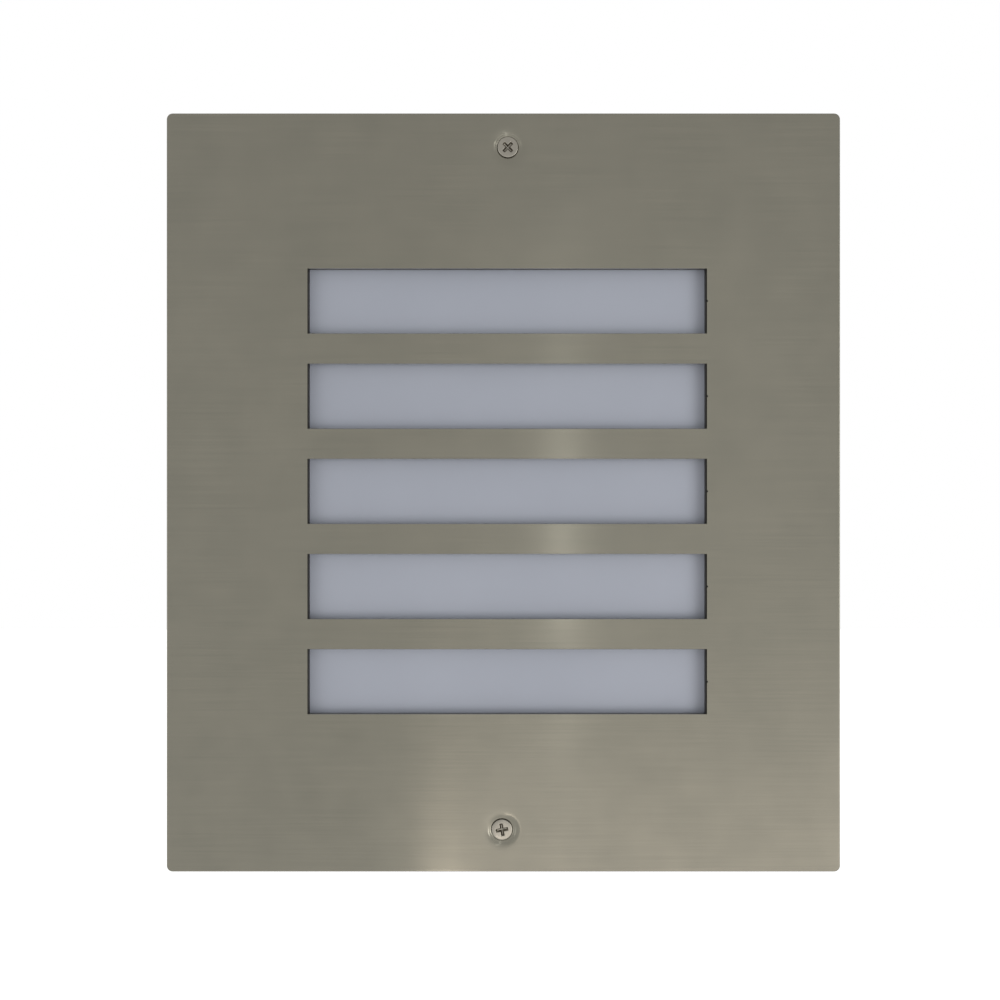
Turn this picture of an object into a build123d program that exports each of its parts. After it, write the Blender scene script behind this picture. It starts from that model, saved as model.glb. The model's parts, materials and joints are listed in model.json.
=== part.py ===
from build123d import *
import os
from math import cos, hypot, pi, radians, sin, tan

# Recessed step light: a slotted brushed plate over a frosted glass, on a cast box that is
# set into the wall and holds a screw-in lamp. Millimetres. X is to the right, Z is up and
# the room is on the -Y side. The origin is the centre of the plate, on the wall plane.

# ---- Face plate
plate_width = 230.0
plate_height = 259.0
plate_thickness = 1.5
plate_corner = 2.0
plate_edge_break = 0.3

# ---- Slots in the plate
slot_width = 136.4
slot_height = 22.2
slot_pitch = 32.5
slot_count = 5
slot_shift = 1.3  # the slots lie a little right of the plate's centre
slot_lift = 0.4  # and a little above it
pierce_radius = 0.35  # nick where the cutting beam entered each slot

# ---- Plate screws, in pressed cups; places as on the photographed plate
screw_below_top_edge = 11.5
screw_above_bottom_edge = 14.3
top_screw_x = 1.5
bottom_screw_x = -0.5
screw_radius = 1.75
screw_length = 12.0
screw_head_radius = 3.5
screw_head_height = 2.1
screw_head_round = 1.1
cross_span = 4.2
cross_width = 1.0
cross_depth = 1.3
top_cross_turn = 45.0
bottom_cross_turn = 9.5
cup_depth = 2.8
cup_floor_radius = 3.85
cup_mouth_radius = 4.55
cup_dish_radius = 5.9
cup_dish_depth = 0.3
cup_wall = 1.2
cup_blend_radius = 8.0
screw_hole_radius = 2.0
screw_washer_thickness = 0.7
screw_washer_play = 0.15
thread_play = 0.05  # all round, between a screw and the thread it turns in
insert_radius = 2.7
insert_length = 8.0
insert_groove_depth = 0.3
insert_groove_width = 0.8
boss_radius = 5.5
boss_length = 17.0
boss_hole_depth = 12.5
boss_hole_radius = 2.0
seat_gap = 0.3  # between parts that meet but must come apart freely
relief_play = 0.6  # round the back of a cup

# ---- Housing, a cast box with a flange that lies on the wall
box_width = 218.0
box_height = 247.0
box_depth = 90.0
box_wall = 2.5
box_corner = 12.0
box_draft = 1.5  # degrees
box_back_round = 4.0
flange_lip = 4.0
flange_thickness = 2.5
gusset_reach = 3.0
gusset_length = 30.0
gusset_thickness = 3.0
side_gusset_pitch = 70.0
end_gusset_spacing = 120.0
knockout_radius = 10.0
knockout_pad_radius = 13.0
knockout_pad_height = 1.2
knockout_groove = 0.8
knockout_depth = 48.0  # from the wall plane to the entry's centre
knockout_above_underside = 63.5
fixing_from_side = 16.0
fixing_from_end = 28.5
fixing_hole_radius = 2.75
fixing_pad_radius = 7.5
fixing_pad_height = 2.5

# ---- Seals, glass and the clips that hold it to the plate
rim_gasket_thickness = 1.5
rim_gasket_width = 6.0
rim_gasket_inset = 0.5
glass_width = 160.0
glass_height = 176.0
glass_thickness = 4.0
glass_corner = 3.0
glass_edge_break = 0.5
glass_gasket_thickness = 3.0
glass_gasket_margin = 0.3  # clear of the top and bottom slots' edges
glass_gasket_lip = 0.15  # how far it bulges in past the slots' ends
stud_radius = 2.0
stud_base_radius = 2.75
stud_base_height = 0.6
stud_length = 7.0
stud_from_glass = 8.0
stud_spacing_z = 110.0
clip_thickness = 1.2
clip_width = 14.0
clip_grip = 8.0  # how far a clip reaches over the glass
clip_heel = 6.0  # foot beyond the stud
clip_glass_play = 1.5
clip_hole_play = 0.2
pad_thickness = 0.5
pad_inset = 1.0
nut_across_flats = 7.0
nut_height = 3.2
washer_radius = 4.5
washer_thickness = 0.8

# ---- Reflector, an enamelled sheet tray round the lamp
reflector_sheet = 0.8
reflector_stand = 4.5  # from the box's floor to the tray's
reflector_mouth_depth = 9.0
reflector_mouth_from_side = 25.0
reflector_mouth_from_top = 27.5
reflector_mouth_from_bottom = 35.5
reflector_floor_from_side = 53.0
reflector_floor_from_top = 39.5
reflector_over_bracket = 12.0
reflector_corner = 8.0
reflector_lip = 4.0
reflector_screw_from_side = 10.0
reflector_screw_inset = 12.0

# ---- Small machine screws inside the box
small_screw_radius = 1.5
small_head_radius = 2.75
small_head_height = 1.9
small_head_round = 0.8
small_cross_span = 3.0
small_cross_width = 0.8
small_cross_depth = 1.0
small_screw_length = 5.0
small_hole_spare = 0.5
post_radius = 4.5
medium_screw_radius = 2.0
medium_head_radius = 3.75
medium_head_height = 2.5
medium_head_round = 1.0
medium_cross_span = 4.0
medium_cross_width = 1.0
medium_cross_depth = 1.3
medium_screw_length = 7.0

# ---- Lampholder and its bracket
holder_above_underside = 17.5
holder_radius = 21.0
holder_rim_radius = 19.5
holder_height = 48.0
holder_shoulder_height = 36.0
holder_base_thickness = 14.0
holder_bore_radius = 14.0
holder_edge = 1.0
holder_slope = 1.5
holder_screw_offset = 12.0
shell_inside_radius = 13.4
shell_stand = 2.0
shell_length = 30.0
shell_lip = 1.2
contact_width = 6.0
contact_sheet = 0.5
contact_foot_reach = 10.0
contact_ramp_start = 5.0
contact_pad_half = 2.5
pocket_size = 8.0
pocket_depth = 7.0
pocket_spread = 8.0
terminal_cube = 7.0
terminal_length = 6.0
bracket_sheet = 1.5
bracket_half_width = 16.0
bracket_stand = 5.5  # from the box's floor
bracket_to_lamp_axis = 36.0
bracket_past_axis = 20.0
bracket_height = 46.0
bracket_bend = 2.0
bracket_screw_x = 9.0
bracket_screw_drop = 12.0
holder_hole_play = 1.5

# ---- Lamp
lamp_tip_gap = 0.3
lamp_seat_gap = 0.5
lamp_tip_radius = 4.75
lamp_tip_height = 1.2
cap_radius = 13.1
cap_length = 24.0
insulator_height = 2.6
insulator_low_radius = 6.0
insulator_high_radius = 11.0
neck_radius = 14.5
neck_length = 3.0
globe_radius = 30.0
globe_above_neck = 46.5
cap_wall = 0.4
cap_rim = 1.5
globe_wall = 1.0
body_wall = 1.2
body_foot_radius = 10.0
led_board_radius = 20.0
led_board_thickness = 1.5
led_board_sink = 3.0
led_size = 2.8
led_height = 0.7
led_circle_radius = 14.0
led_count = 10

# ---- Terminal block
block_from_side = 52.0
block_above_underside = 29.5
pole_pitch = 11.5
pole_count = 3
tower_width = 9.5
tower_height = 22.0
tower_corner = 1.5
block_height = 17.0
block_base = 3.0
block_base_width = 47.0
block_base_height = 12.0
block_stand = 3.5
block_ear_x = 20.0
tube_radius = 3.0
tube_bore = 1.7
tube_length = 20.0
tube_from_front = 9.0
clamp_screw_radius = 1.5
clamp_screw_head_radius = 1.9
clamp_screw_head_height = 1.4
clamp_screw_sink = 1.2
clamp_screw_offset = 6.0
clamp_screw_play = 0.1
driver_slot_width = 0.6
driver_slot_depth = 0.8

# ---- Earth terminal
earth_from_side = 77.0
earth_above_underside = 51.5
earth_post_height = 7.5
ring_sheet = 0.8
ring_radius = 4.5
barrel_radius = 2.3
barrel_length = 8.0
neck_overlap = 1.0

# ---- Insulated leads
lead_radius = 1.3
lead_grip = 5.0
lead_entry = 5.0  # straight run before a lead enters the lampholder
lead_hang = 9.0  # how far out and above its pocket a lead comes down
lead_crown = 6.0
live_rise = 7.0
live_swing = 8.0
neutral_rise = 11.0
neutral_swing = 12.0
earth_drop = 14.0
earth_sweep = 16.0
earth_below_holder = 8.0

# ---- Cable gland
gland_from_side = 51.0
gland_above_underside = 35.5
gland_thread_radius = 10.0
gland_thread_inside = 6.5
gland_wall_bore = 7.5
gland_hex = 24.0
gland_hex_length = 5.5
gland_washer_thickness = 1.5
gland_washer_radius = 13.5
gland_cup_radius = 9.5
gland_cup_length = 8.0
gland_seat_bore = 8.2
gland_seal_length = 12.0
seal_proud = 1.0
cable_bore = 5.0
slip_ring_thickness = 1.0
slip_ring_play = 0.4
locknut_hex = 26.0
locknut_height = 4.0
dome_hex_length = 9.0
dome_length = 15.0
dome_mouth_radius = 6.5
dome_end_radius = 8.5
dome_crown_radius = 11.7
dome_crown_step = 1.0
dome_gap = 0.8

# ---- Depths that follow from the stack of parts; negative is toward the room
plate_back = -flange_thickness - rim_gasket_thickness
plate_front = plate_back - plate_thickness
cup_floor = plate_front + cup_depth
cup_back = cup_floor + cup_wall
screw_seat = cup_floor - screw_washer_thickness
boss_front = cup_back + seat_gap
glass_front = plate_back + glass_gasket_thickness
glass_back = glass_front + glass_thickness
clip_foot_back = plate_back + clip_thickness
clip_finger_front = glass_back + pad_thickness
box_floor = box_depth - box_wall
top_screw_z = plate_height / 2 - screw_below_top_edge
bottom_screw_z = screw_above_bottom_edge - plate_height / 2
screw_places = [(top_screw_x, top_screw_z), (bottom_screw_x, bottom_screw_z)]
relief_radius = cup_mouth_radius + cup_wall + relief_play
into_floor = box_wall / 2  # how far a cast post is sunk into the floor that it grows from

# ---- Places that follow from the box's sides, underside and floor
side = box_width / 2
underside = -box_height / 2
knockout_z = underside + knockout_above_underside
block_x = side - block_from_side
block_z = underside + block_above_underside
earth_x = earth_from_side - side
earth_z = underside + earth_above_underside
gland_x = gland_from_side - side
gland_z = underside + gland_above_underside
bracket_wall_depth = box_floor - bracket_stand
bracket_seat = bracket_wall_depth - bracket_sheet
lamp_axis_depth = bracket_wall_depth - bracket_to_lamp_axis
bracket_front_depth = lamp_axis_depth - bracket_past_axis
holder_bottom = underside + holder_above_underside
bracket_top = holder_bottom + bracket_height
bracket_screw_z = bracket_top - bracket_screw_drop

# ---- Reflector
reflector_floor_depth = box_floor - reflector_stand
reflector_back = reflector_floor_depth + reflector_sheet
reflector_mouth_half_width = side - reflector_mouth_from_side
reflector_mouth_top = box_height / 2 - reflector_mouth_from_top
reflector_mouth_bottom = underside + reflector_mouth_from_bottom
reflector_floor_half_width = side - reflector_floor_from_side
reflector_floor_top = box_height / 2 - reflector_floor_from_top
reflector_floor_bottom = bracket_top + reflector_over_bracket
reflector_screw_x = reflector_floor_half_width - reflector_screw_from_side

# ---- Heights along the lampholder and the lamp
holder_shoulder = holder_bottom + holder_shoulder_height
holder_top = holder_bottom + holder_height
holder_floor = holder_bottom + holder_base_thickness
shell_bottom = holder_floor + shell_stand
shell_top = shell_bottom + shell_length
cap_top = holder_top + lamp_seat_gap
cap_foot = cap_top - cap_length
tip_top = cap_foot - insulator_height
tip_foot = tip_top - lamp_tip_height
contact_top = tip_foot - lamp_tip_gap
neck_top = cap_top + neck_length
globe_centre = neck_top + globe_above_neck
# the flare from the neck is an arc that meets the globe's ball without a corner
flare_radius = (
    (neck_radius**2 + (neck_top - globe_centre) ** 2 - globe_radius**2)
    / (2 * (globe_radius - neck_radius))
)
flare_reach = hypot(neck_radius + flare_radius, neck_top - globe_centre)
seam_radius = globe_radius * (neck_radius + flare_radius) / flare_reach
seam_height = globe_centre + globe_radius * (neck_top - globe_centre) / flare_reach
led_board_bottom = seam_height - led_board_sink
led_board_top = led_board_bottom + led_board_thickness

# ---- Places of the wiring
holder_pocket_z = (holder_bottom + holder_floor) / 2
pocket_floor = holder_radius - pocket_depth
terminal_face = pocket_floor + terminal_length
block_back = box_floor - block_stand
block_front = block_back - block_height
tube_depth = block_front + tube_from_front
tube_end_low = block_z - tube_length / 2
tube_end_high = block_z + tube_length / 2
earth_seat = box_floor - earth_post_height
earth_ring_front = earth_seat - ring_sheet
earth_lead_depth = earth_seat - ring_sheet / 2
barrel_top = earth_z - ring_radius
barrel_foot = barrel_top - barrel_length

# ---- Depths along the gland
gland_front = box_floor - gland_thread_inside
gland_hex_front = box_depth + gland_washer_thickness
gland_hex_back = gland_hex_front + gland_hex_length
gland_cup_back = gland_hex_back + gland_cup_length
seal_back = gland_cup_back + seal_proud
seal_front = seal_back - gland_seal_length
slip_ring_front = seal_back + seat_gap
slip_ring_back = slip_ring_front + slip_ring_thickness
dome_front = gland_hex_back + dome_gap


# ---------------------------------------------------------------- shapes used again and again
def wall_plane(depth):
    """Plane parallel to the wall: its x is X and its y is Z."""
    return Plane(origin=(0, depth, 0), x_dir=(1, 0, 0), z_dir=(0, -1, 0))


def slab(width, height, corner, front, back, x=0.0, z=0.0):
    """Rounded rectangle seen from the front, between two depths."""
    outline = wall_plane(front) * Pos(x, z) * RectangleRounded(width, height, corner)
    return extrude(outline, front - back)


def rod(x, z, radius, front, back):
    """Round bar along Y."""
    return extrude(wall_plane(front) * Pos(x, z) * Circle(radius), front - back)


def hexagon(x, z, across_flats, front, back):
    """Six-sided bar along Y."""
    outline = RegularPolygon(across_flats / 2, 6, major_radius=False)
    return extrude(wall_plane(front) * Pos(x, z) * outline, front - back)


def ring(x, z, inside, outside, front, back):
    """Tube along Y."""
    return rod(x, z, outside, front, back) - rod(x, z, inside, front, back)


def block(x0, x1, y0, y1, z0, z1):
    """Box by its corners."""
    return Pos((x0 + x1) / 2, (y0 + y1) / 2, (z0 + z1) / 2) * Box(x1 - x0, y1 - y0, z1 - z0)


def post(x, y, radius, low, high):
    """Round bar along Z."""
    return Pos(x, y, low) * Cylinder(radius, high - low, align=(Align.CENTER, Align.CENTER, Align.MIN))


def turned_along_y(x, z, outline):
    """Solid of revolution about a line along Y. The outline is (radius, depth) pairs."""
    profile = Pos(x, 0, z) * make_face(Polyline(*outline, close=True))
    return revolve(profile, Axis((x, 0, z), (0, 1, 0)))


def turned_upright(outline):
    """Solid of revolution about the lamp's axis. The outline is (radius, height) pairs."""
    points = [(radius, lamp_axis_depth, height) for radius, height in outline]
    return revolve(make_face(Polyline(*points, close=True)), lamp_axis())


def lamp_axis():
    return Axis((0, lamp_axis_depth, 0), (0, 0, 1))


def mirrored_pairs(half_x, low_z, high_z):
    """Four places: left and right, low and high."""
    return [(x, z) for x in (-half_x, half_x) for z in (low_z, high_z)]


def cross_screw(radius, length, head_radius, head_height, head_round, recess, turn=0.0):
    """Cross-recess pan screw with the underside of its head on y = 0 and its shank toward +Y.
    The recess is (span, width, depth)."""
    span, width, depth = recess
    head = rod(0, 0, head_radius, -head_height, 0)
    head = fillet(head.edges().group_by(Axis.Y)[0], head_round)
    arm = Pos(0, depth / 2 - head_height, 0) * Box(span, depth, width)
    head -= Rot(0, turn, 0) * arm
    head -= Rot(0, turn + 90, 0) * arm
    return head + rod(0, 0, radius, 0, length)


def small_screw():
    return cross_screw(
        small_screw_radius,
        small_screw_length,
        small_head_radius,
        small_head_height,
        small_head_round,
        (small_cross_span, small_cross_width, small_cross_depth),
    )


def medium_screw():
    return cross_screw(
        medium_screw_radius,
        medium_screw_length,
        medium_head_radius,
        medium_head_height,
        medium_head_round,
        (medium_cross_span, medium_cross_width, medium_cross_depth),
    )


def small_hole(x, z, front):
    """Blind hole for a small screw whose head seats at this depth."""
    return rod(x, z, small_screw_radius, front, front + small_screw_length + small_hole_spare)


# ---------------------------------------------------------------- face plate and what it carries
def slot_places():
    """Height of each slot's centre."""
    middle = (slot_count - 1) / 2
    return [slot_lift + (middle - i) * slot_pitch for i in range(slot_count)]


def cup(x, z):
    """Pressed cup round a screw, blended into the sheet."""
    return turned_along_y(
        x,
        z,
        [
            (cup_blend_radius, plate_front),
            (cup_dish_radius, plate_front),
            (cup_mouth_radius, plate_front + cup_dish_depth),
            (cup_floor_radius, cup_floor),
            (screw_hole_radius, cup_floor),
            (screw_hole_radius, cup_back),
            (cup_floor_radius + cup_wall, cup_back),
            (cup_mouth_radius + cup_wall, plate_back),
            (cup_blend_radius, plate_back),
        ],
    )


def face_plate():
    plate = slab(plate_width, plate_height, plate_corner, plate_front, plate_back)
    plate = chamfer(plate.faces().sort_by(Axis.Y)[0].edges(), plate_edge_break)
    for z in slot_places():
        plate -= block(
            slot_shift - slot_width / 2,
            slot_shift + slot_width / 2,
            plate_front - 1,
            plate_back + 1,
            z - slot_height / 2,
            z + slot_height / 2,
        )
        plate -= rod(slot_shift + slot_width / 2, z, pierce_radius, plate_front - 1, plate_back + 1)
    for x, z in screw_places:
        plate -= rod(x, z, cup_blend_radius, plate_front - 1, plate_back + 1)
        plate += cup(x, z)
    return plate


def stud_places():
    places = mirrored_pairs(
        glass_width / 2 + stud_from_glass, -stud_spacing_z / 2, stud_spacing_z / 2
    )
    return [(slot_shift + x, z) for x, z in places]


def weld_studs():
    studs = []
    for x, z in stud_places():
        foot = rod(x, z, stud_base_radius, plate_back, plate_back + stud_base_height)
        studs.append(foot + rod(x, z, stud_radius, plate_back, plate_back + stud_length))
    return Compound(studs)


def diffuser_gasket():
    """Flat frame between the plate and the glass, all round the slots."""
    frame = slab(glass_width, glass_height, glass_corner, plate_back, glass_front, x=slot_shift)
    opening_width = slot_width - 2 * glass_gasket_lip
    opening_height = (slot_count - 1) * slot_pitch + slot_height + 2 * glass_gasket_margin
    return frame - slab(
        opening_width,
        opening_height,
        glass_gasket_margin,
        plate_back - 1,
        glass_front + 1,
        x=slot_shift,
        z=slot_lift,
    )


def diffuser_glass():
    glass = slab(glass_width, glass_height, glass_corner, glass_front, glass_back, x=slot_shift)
    rims = glass.faces().sort_by(Axis.Y)
    return chamfer(rims[0].edges() + rims[-1].edges(), glass_edge_break)


def clip():
    """Z-shaped spring clip for the right-hand side, about its stud's axis at x = 0, z = 0."""
    glass_edge = -stud_from_glass
    web = glass_edge + clip_glass_play
    tip = glass_edge - clip_grip
    outline = Polyline(
        (clip_heel, plate_back),
        (web, plate_back),
        (web, clip_finger_front),
        (tip, clip_finger_front),
        (tip, clip_finger_front + clip_thickness),
        (web + clip_thickness, clip_finger_front + clip_thickness),
        (web + clip_thickness, clip_foot_back),
        (clip_heel, clip_foot_back),
        close=True,
    )
    strip = extrude(make_face(outline), clip_width / 2, both=True)
    strip -= rod(0, 0, stud_base_radius + clip_hole_play, plate_back - 1, clip_foot_back + 1)
    return strip


def beside_glass(piece):
    """Copies of a right-hand piece at every stud; the left-hand ones are turned round."""
    copies = []
    for x, z in stud_places():
        turn = 0 if x > slot_shift else 180
        copies.append(Pos(x, 0, z) * Rot(0, turn, 0) * piece)
    return Compound(copies)


def glass_clips():
    return beside_glass(clip())


def clip_pads():
    """Soft pads between the clips and the glass."""
    near = -stud_from_glass - pad_inset
    far = -stud_from_glass - clip_grip
    half = clip_width / 2 - pad_inset
    return beside_glass(block(far, near, glass_back, clip_finger_front, -half, half))


def clip_washers():
    bore = stud_radius + clip_hole_play
    return beside_glass(
        ring(0, 0, bore, washer_radius, clip_foot_back, clip_foot_back + washer_thickness)
    )


def clip_nuts():
    seat = clip_foot_back + washer_thickness
    nut = hexagon(0, 0, nut_across_flats, seat, seat + nut_height)
    return beside_glass(nut - rod(0, 0, stud_radius, seat - 1, seat + nut_height + 1))


def plate_screw(place, turn):
    x, z = place
    screw = cross_screw(
        screw_radius,
        screw_length,
        screw_head_radius,
        screw_head_height,
        screw_head_round,
        (cross_span, cross_width, cross_depth),
        turn,
    )
    return Pos(x, screw_seat, z) * screw


def plate_screw_washer(place):
    x, z = place
    bore = screw_radius + thread_play
    return ring(x, z, bore, cup_floor_radius - screw_washer_play, screw_seat, cup_floor)


# ---------------------------------------------------------------- housing
def drafted_box(width, height, corner, front, back):
    """Box that narrows toward the back by the casting draft."""
    shrink = (back - front) * tan(radians(box_draft))
    mouth = wall_plane(front) * RectangleRounded(width, height, corner)
    end = wall_plane(back) * RectangleRounded(
        width - 2 * shrink, height - 2 * shrink, corner - shrink
    )
    return loft([mouth, end], ruled=True)


def gusset(reach):
    """Cast triangle under the flange, on a wall that stands this far from the centre."""
    outline = Polyline(
        (reach - box_wall / 2, 0),
        (reach + gusset_reach, 0),
        (reach - gusset_length * tan(radians(box_draft)), gusset_length),
        (reach - box_wall / 2, gusset_length),
        close=True,
    )
    return extrude(make_face(outline), gusset_thickness / 2, both=True)


def gussets():
    beside = gusset(side)
    end = gusset(box_height / 2)
    pieces = []
    for z in (-side_gusset_pitch, 0, side_gusset_pitch):
        pieces += [Pos(0, 0, z) * beside, Pos(0, 0, z) * Rot(0, 180, 0) * beside]
    for x in (-end_gusset_spacing / 2, end_gusset_spacing / 2):
        pieces += [Pos(x, 0, 0) * Rot(0, -90, 0) * end, Pos(x, 0, 0) * Rot(0, 90, 0) * end]
    return pieces


def knockout(reach):
    """Blanked conduit entry on a wall that stands this far from the centre: a pad and its groove."""
    wall = reach - knockout_depth * tan(radians(box_draft))
    face = wall + knockout_pad_height
    start = Plane(origin=(wall - box_wall / 2, knockout_depth, 0), z_dir=(1, 0, 0))
    pad = extrude(start * Circle(knockout_pad_radius), face - start.origin.X)
    edge = Plane(origin=(face - knockout_groove, knockout_depth, 0), z_dir=(1, 0, 0))
    rim = Circle(knockout_radius) - Circle(knockout_radius - knockout_groove)
    return pad, extrude(edge * rim, knockout_groove + 1)


def knockouts():
    """Pads and grooves of the entries on both sides and on the underside."""
    places = [
        (Pos(0, 0, knockout_z), side),
        (Pos(0, 0, knockout_z) * Rot(0, 180, 0), side),
        (Rot(0, 90, 0), box_height / 2),
    ]
    pads, grooves = [], []
    for place, reach in places:
        pad, groove = knockout(reach)
        pads.append(place * pad)
        grooves.append(place * groove)
    return pads, grooves


def screw_bosses():
    """Columns for the plate's screws, each joined to the nearer wall by a web."""
    bosses = []
    back = boss_front + boss_length
    for x, z in screw_places:
        outward = 1 if z > 0 else -1
        web_end = outward * box_height / 2
        column = rod(x, z, boss_radius, boss_front, back)
        web = block(
            x - boss_radius, x + boss_radius, boss_front, back, min(z, web_end), max(z, web_end)
        )
        bosses.append(column + web)
    return bosses


def reflector_screw_places():
    low = reflector_floor_bottom + reflector_screw_inset
    high = reflector_floor_top - reflector_screw_inset
    return mirrored_pairs(reflector_screw_x, low, high)


def bracket_screw_places():
    return [(-bracket_screw_x, bracket_screw_z), (bracket_screw_x, bracket_screw_z)]


def block_screw_places():
    return [(block_x - block_ear_x, block_z), (block_x + block_ear_x, block_z)]


def fixing_places():
    high = box_height / 2 - fixing_from_end
    return mirrored_pairs(side - fixing_from_side, -high, high)


def floor_posts():
    """Raised seats cast on the floor of the box."""
    root = box_floor + into_floor
    pad_top = box_floor - fixing_pad_height
    posts = [rod(x, z, fixing_pad_radius, pad_top, root) for x, z in fixing_places()]
    posts += [rod(x, z, post_radius, reflector_back, root) for x, z in reflector_screw_places()]
    posts += [rod(x, z, post_radius, bracket_wall_depth, root) for x, z in bracket_screw_places()]
    posts += [rod(x, z, post_radius, block_back, root) for x, z in block_screw_places()]
    posts.append(rod(earth_x, earth_z, post_radius, earth_seat, root))
    return posts


def floor_holes():
    """Blind threaded holes in the posts, the fixing holes and the hole for the gland."""
    holes = [
        rod(x, z, fixing_hole_radius, box_floor - fixing_pad_height - 1, box_depth + 1)
        for x, z in fixing_places()
    ]
    holes += [small_hole(x, z, reflector_floor_depth) for x, z in reflector_screw_places()]
    holes += [
        rod(x, z, medium_screw_radius, bracket_wall_depth - 1, bracket_seat + medium_screw_length)
        for x, z in bracket_screw_places()
    ]
    holes += [small_hole(x, z, block_back - block_base) for x, z in block_screw_places()]
    earth_end = earth_ring_front + medium_screw_length
    holes.append(rod(earth_x, earth_z, medium_screw_radius, earth_seat - 1, earth_end))
    holes.append(rod(gland_x, gland_z, gland_thread_radius, box_floor - 1, box_depth + 1))
    return holes


def housing():
    shell = drafted_box(box_width, box_height, box_corner, 0, box_depth)
    shell = fillet(shell.faces().sort_by(Axis.Y)[-1].edges(), box_back_round)
    shell += slab(
        box_width + 2 * flange_lip,
        box_height + 2 * flange_lip,
        box_corner + flange_lip,
        -flange_thickness,
        0,
    )
    shell += gussets()
    pads, grooves = knockouts()
    shell += pads
    hollow = drafted_box(
        box_width - 2 * box_wall,
        box_height - 2 * box_wall,
        box_corner - box_wall,
        -flange_thickness,
        box_floor,
    )
    hollow -= screw_bosses()
    hollow -= floor_posts()
    shell -= hollow
    for x, z in screw_places:
        shell -= rod(x, z, relief_radius, -flange_thickness - 1, boss_front)
        shell -= rod(x, z, insert_radius, boss_front, boss_front + insert_length)
        shell -= rod(x, z, boss_hole_radius, boss_front, boss_front + boss_hole_depth)
    shell -= floor_holes()
    shell -= grooves
    return shell


def rim_gasket():
    """Foam ring on the flange, notched round the backs of the cups."""
    width = box_width + 2 * flange_lip - 2 * rim_gasket_inset
    height = box_height + 2 * flange_lip - 2 * rim_gasket_inset
    corner = box_corner + flange_lip - rim_gasket_inset
    foam = slab(width, height, corner, plate_back, -flange_thickness)
    foam -= slab(
        width - 2 * rim_gasket_width,
        height - 2 * rim_gasket_width,
        corner - rim_gasket_width,
        plate_back - 1,
        -flange_thickness + 1,
    )
    for x, z in screw_places:
        foam -= rod(x, z, relief_radius, plate_back - 1, 0)
    return foam


def screw_inserts():
    """Knurled brass bushes that the plate's screws turn in."""
    inserts = []
    end = boss_front + insert_length
    third = insert_length / 3
    for x, z in screw_places:
        bush = ring(x, z, screw_radius + thread_play, insert_radius, boss_front, end)
        for i in (1, 2):
            start = boss_front + i * third - insert_groove_width / 2
            bottom = insert_radius - insert_groove_depth
            bush -= ring(x, z, bottom, insert_radius + 1, start, start + insert_groove_width)
        inserts.append(bush)
    return Compound(inserts)


# ---------------------------------------------------------------- reflector
def reflector_form(grow, front, back):
    """Tapered block of the tray, grown all round, from its mouth to its floor."""
    mouth = wall_plane(front) * Pos(0, (reflector_mouth_top + reflector_mouth_bottom) / 2)
    mouth *= RectangleRounded(
        2 * (reflector_mouth_half_width + grow),
        reflector_mouth_top - reflector_mouth_bottom + 2 * grow,
        reflector_corner + grow,
    )
    floor = wall_plane(back) * Pos(0, (reflector_floor_top + reflector_floor_bottom) / 2)
    floor *= RectangleRounded(
        2 * (reflector_floor_half_width + grow),
        reflector_floor_top - reflector_floor_bottom + 2 * grow,
        reflector_corner + grow,
    )
    return loft([mouth, floor], ruled=True)


def reflector():
    tray = reflector_form(reflector_sheet, reflector_mouth_depth, reflector_back)
    tray += slab(
        2 * (reflector_mouth_half_width + reflector_lip),
        reflector_mouth_top - reflector_mouth_bottom + 2 * reflector_lip,
        reflector_corner + reflector_lip,
        reflector_mouth_depth,
        reflector_mouth_depth + reflector_sheet,
        z=(reflector_mouth_top + reflector_mouth_bottom) / 2,
    )
    tray -= reflector_form(0, reflector_mouth_depth, reflector_floor_depth)
    lamp_hole = holder_radius + holder_hole_play
    tray -= post(0, lamp_axis_depth, lamp_hole, reflector_mouth_bottom, reflector_floor_bottom)
    for x, z in reflector_screw_places():
        tray -= small_hole(x, z, reflector_floor_depth - 1)
    return tray


def reflector_screws():
    seat = reflector_floor_depth
    return Compound([Pos(x, seat, z) * small_screw() for x, z in reflector_screw_places()])


# ---------------------------------------------------------------- lampholder and bracket
def holder_screw_places():
    return [lamp_axis_depth - holder_screw_offset, lamp_axis_depth + holder_screw_offset]


def lampholder_bracket():
    """Bent steel angle: one leg on the floor posts, the other under the lampholder."""
    low = holder_bottom - bracket_sheet
    outline = Polyline(
        (0, bracket_front_depth, low),
        (0, bracket_wall_depth, low),
        (0, bracket_wall_depth, bracket_top),
        (0, bracket_seat, bracket_top),
        (0, bracket_seat, holder_bottom),
        (0, bracket_front_depth, holder_bottom),
        close=True,
    )
    angle = extrude(make_face(outline), bracket_half_width, both=True)
    bend = angle.edges().filter_by(Axis.X)
    inner = bend.sort_by_distance((0, bracket_seat, holder_bottom))[0]
    outer = bend.sort_by_distance((0, bracket_wall_depth, low))[0]
    angle = fillet(inner, bracket_bend)
    outer = angle.edges().filter_by(Axis.X).sort_by_distance(outer.center())[0]
    angle = fillet(outer, bracket_bend + bracket_sheet)
    for x, z in bracket_screw_places():
        angle -= rod(x, z, medium_screw_radius, bracket_seat - 1, bracket_wall_depth + 1)
    for y in holder_screw_places():
        angle -= post(0, y, medium_screw_radius, low - 1, holder_bottom + 1)
    return angle


def bracket_screws():
    return Compound([Pos(x, bracket_seat, z) * medium_screw() for x, z in bracket_screw_places()])


def holder_screws():
    """Two screws up through the bracket into the foot of the lampholder."""
    upward = Rot(90, 0, 0) * medium_screw()
    seat = holder_bottom - bracket_sheet
    return Compound([Pos(0, y, seat) * upward for y in holder_screw_places()])


def terminal_places():
    """Centres of the two wiring pockets, on the right-hand side of the lampholder."""
    return [(lamp_axis_depth + spread, holder_pocket_z) for spread in (-pocket_spread, pocket_spread)]


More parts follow.
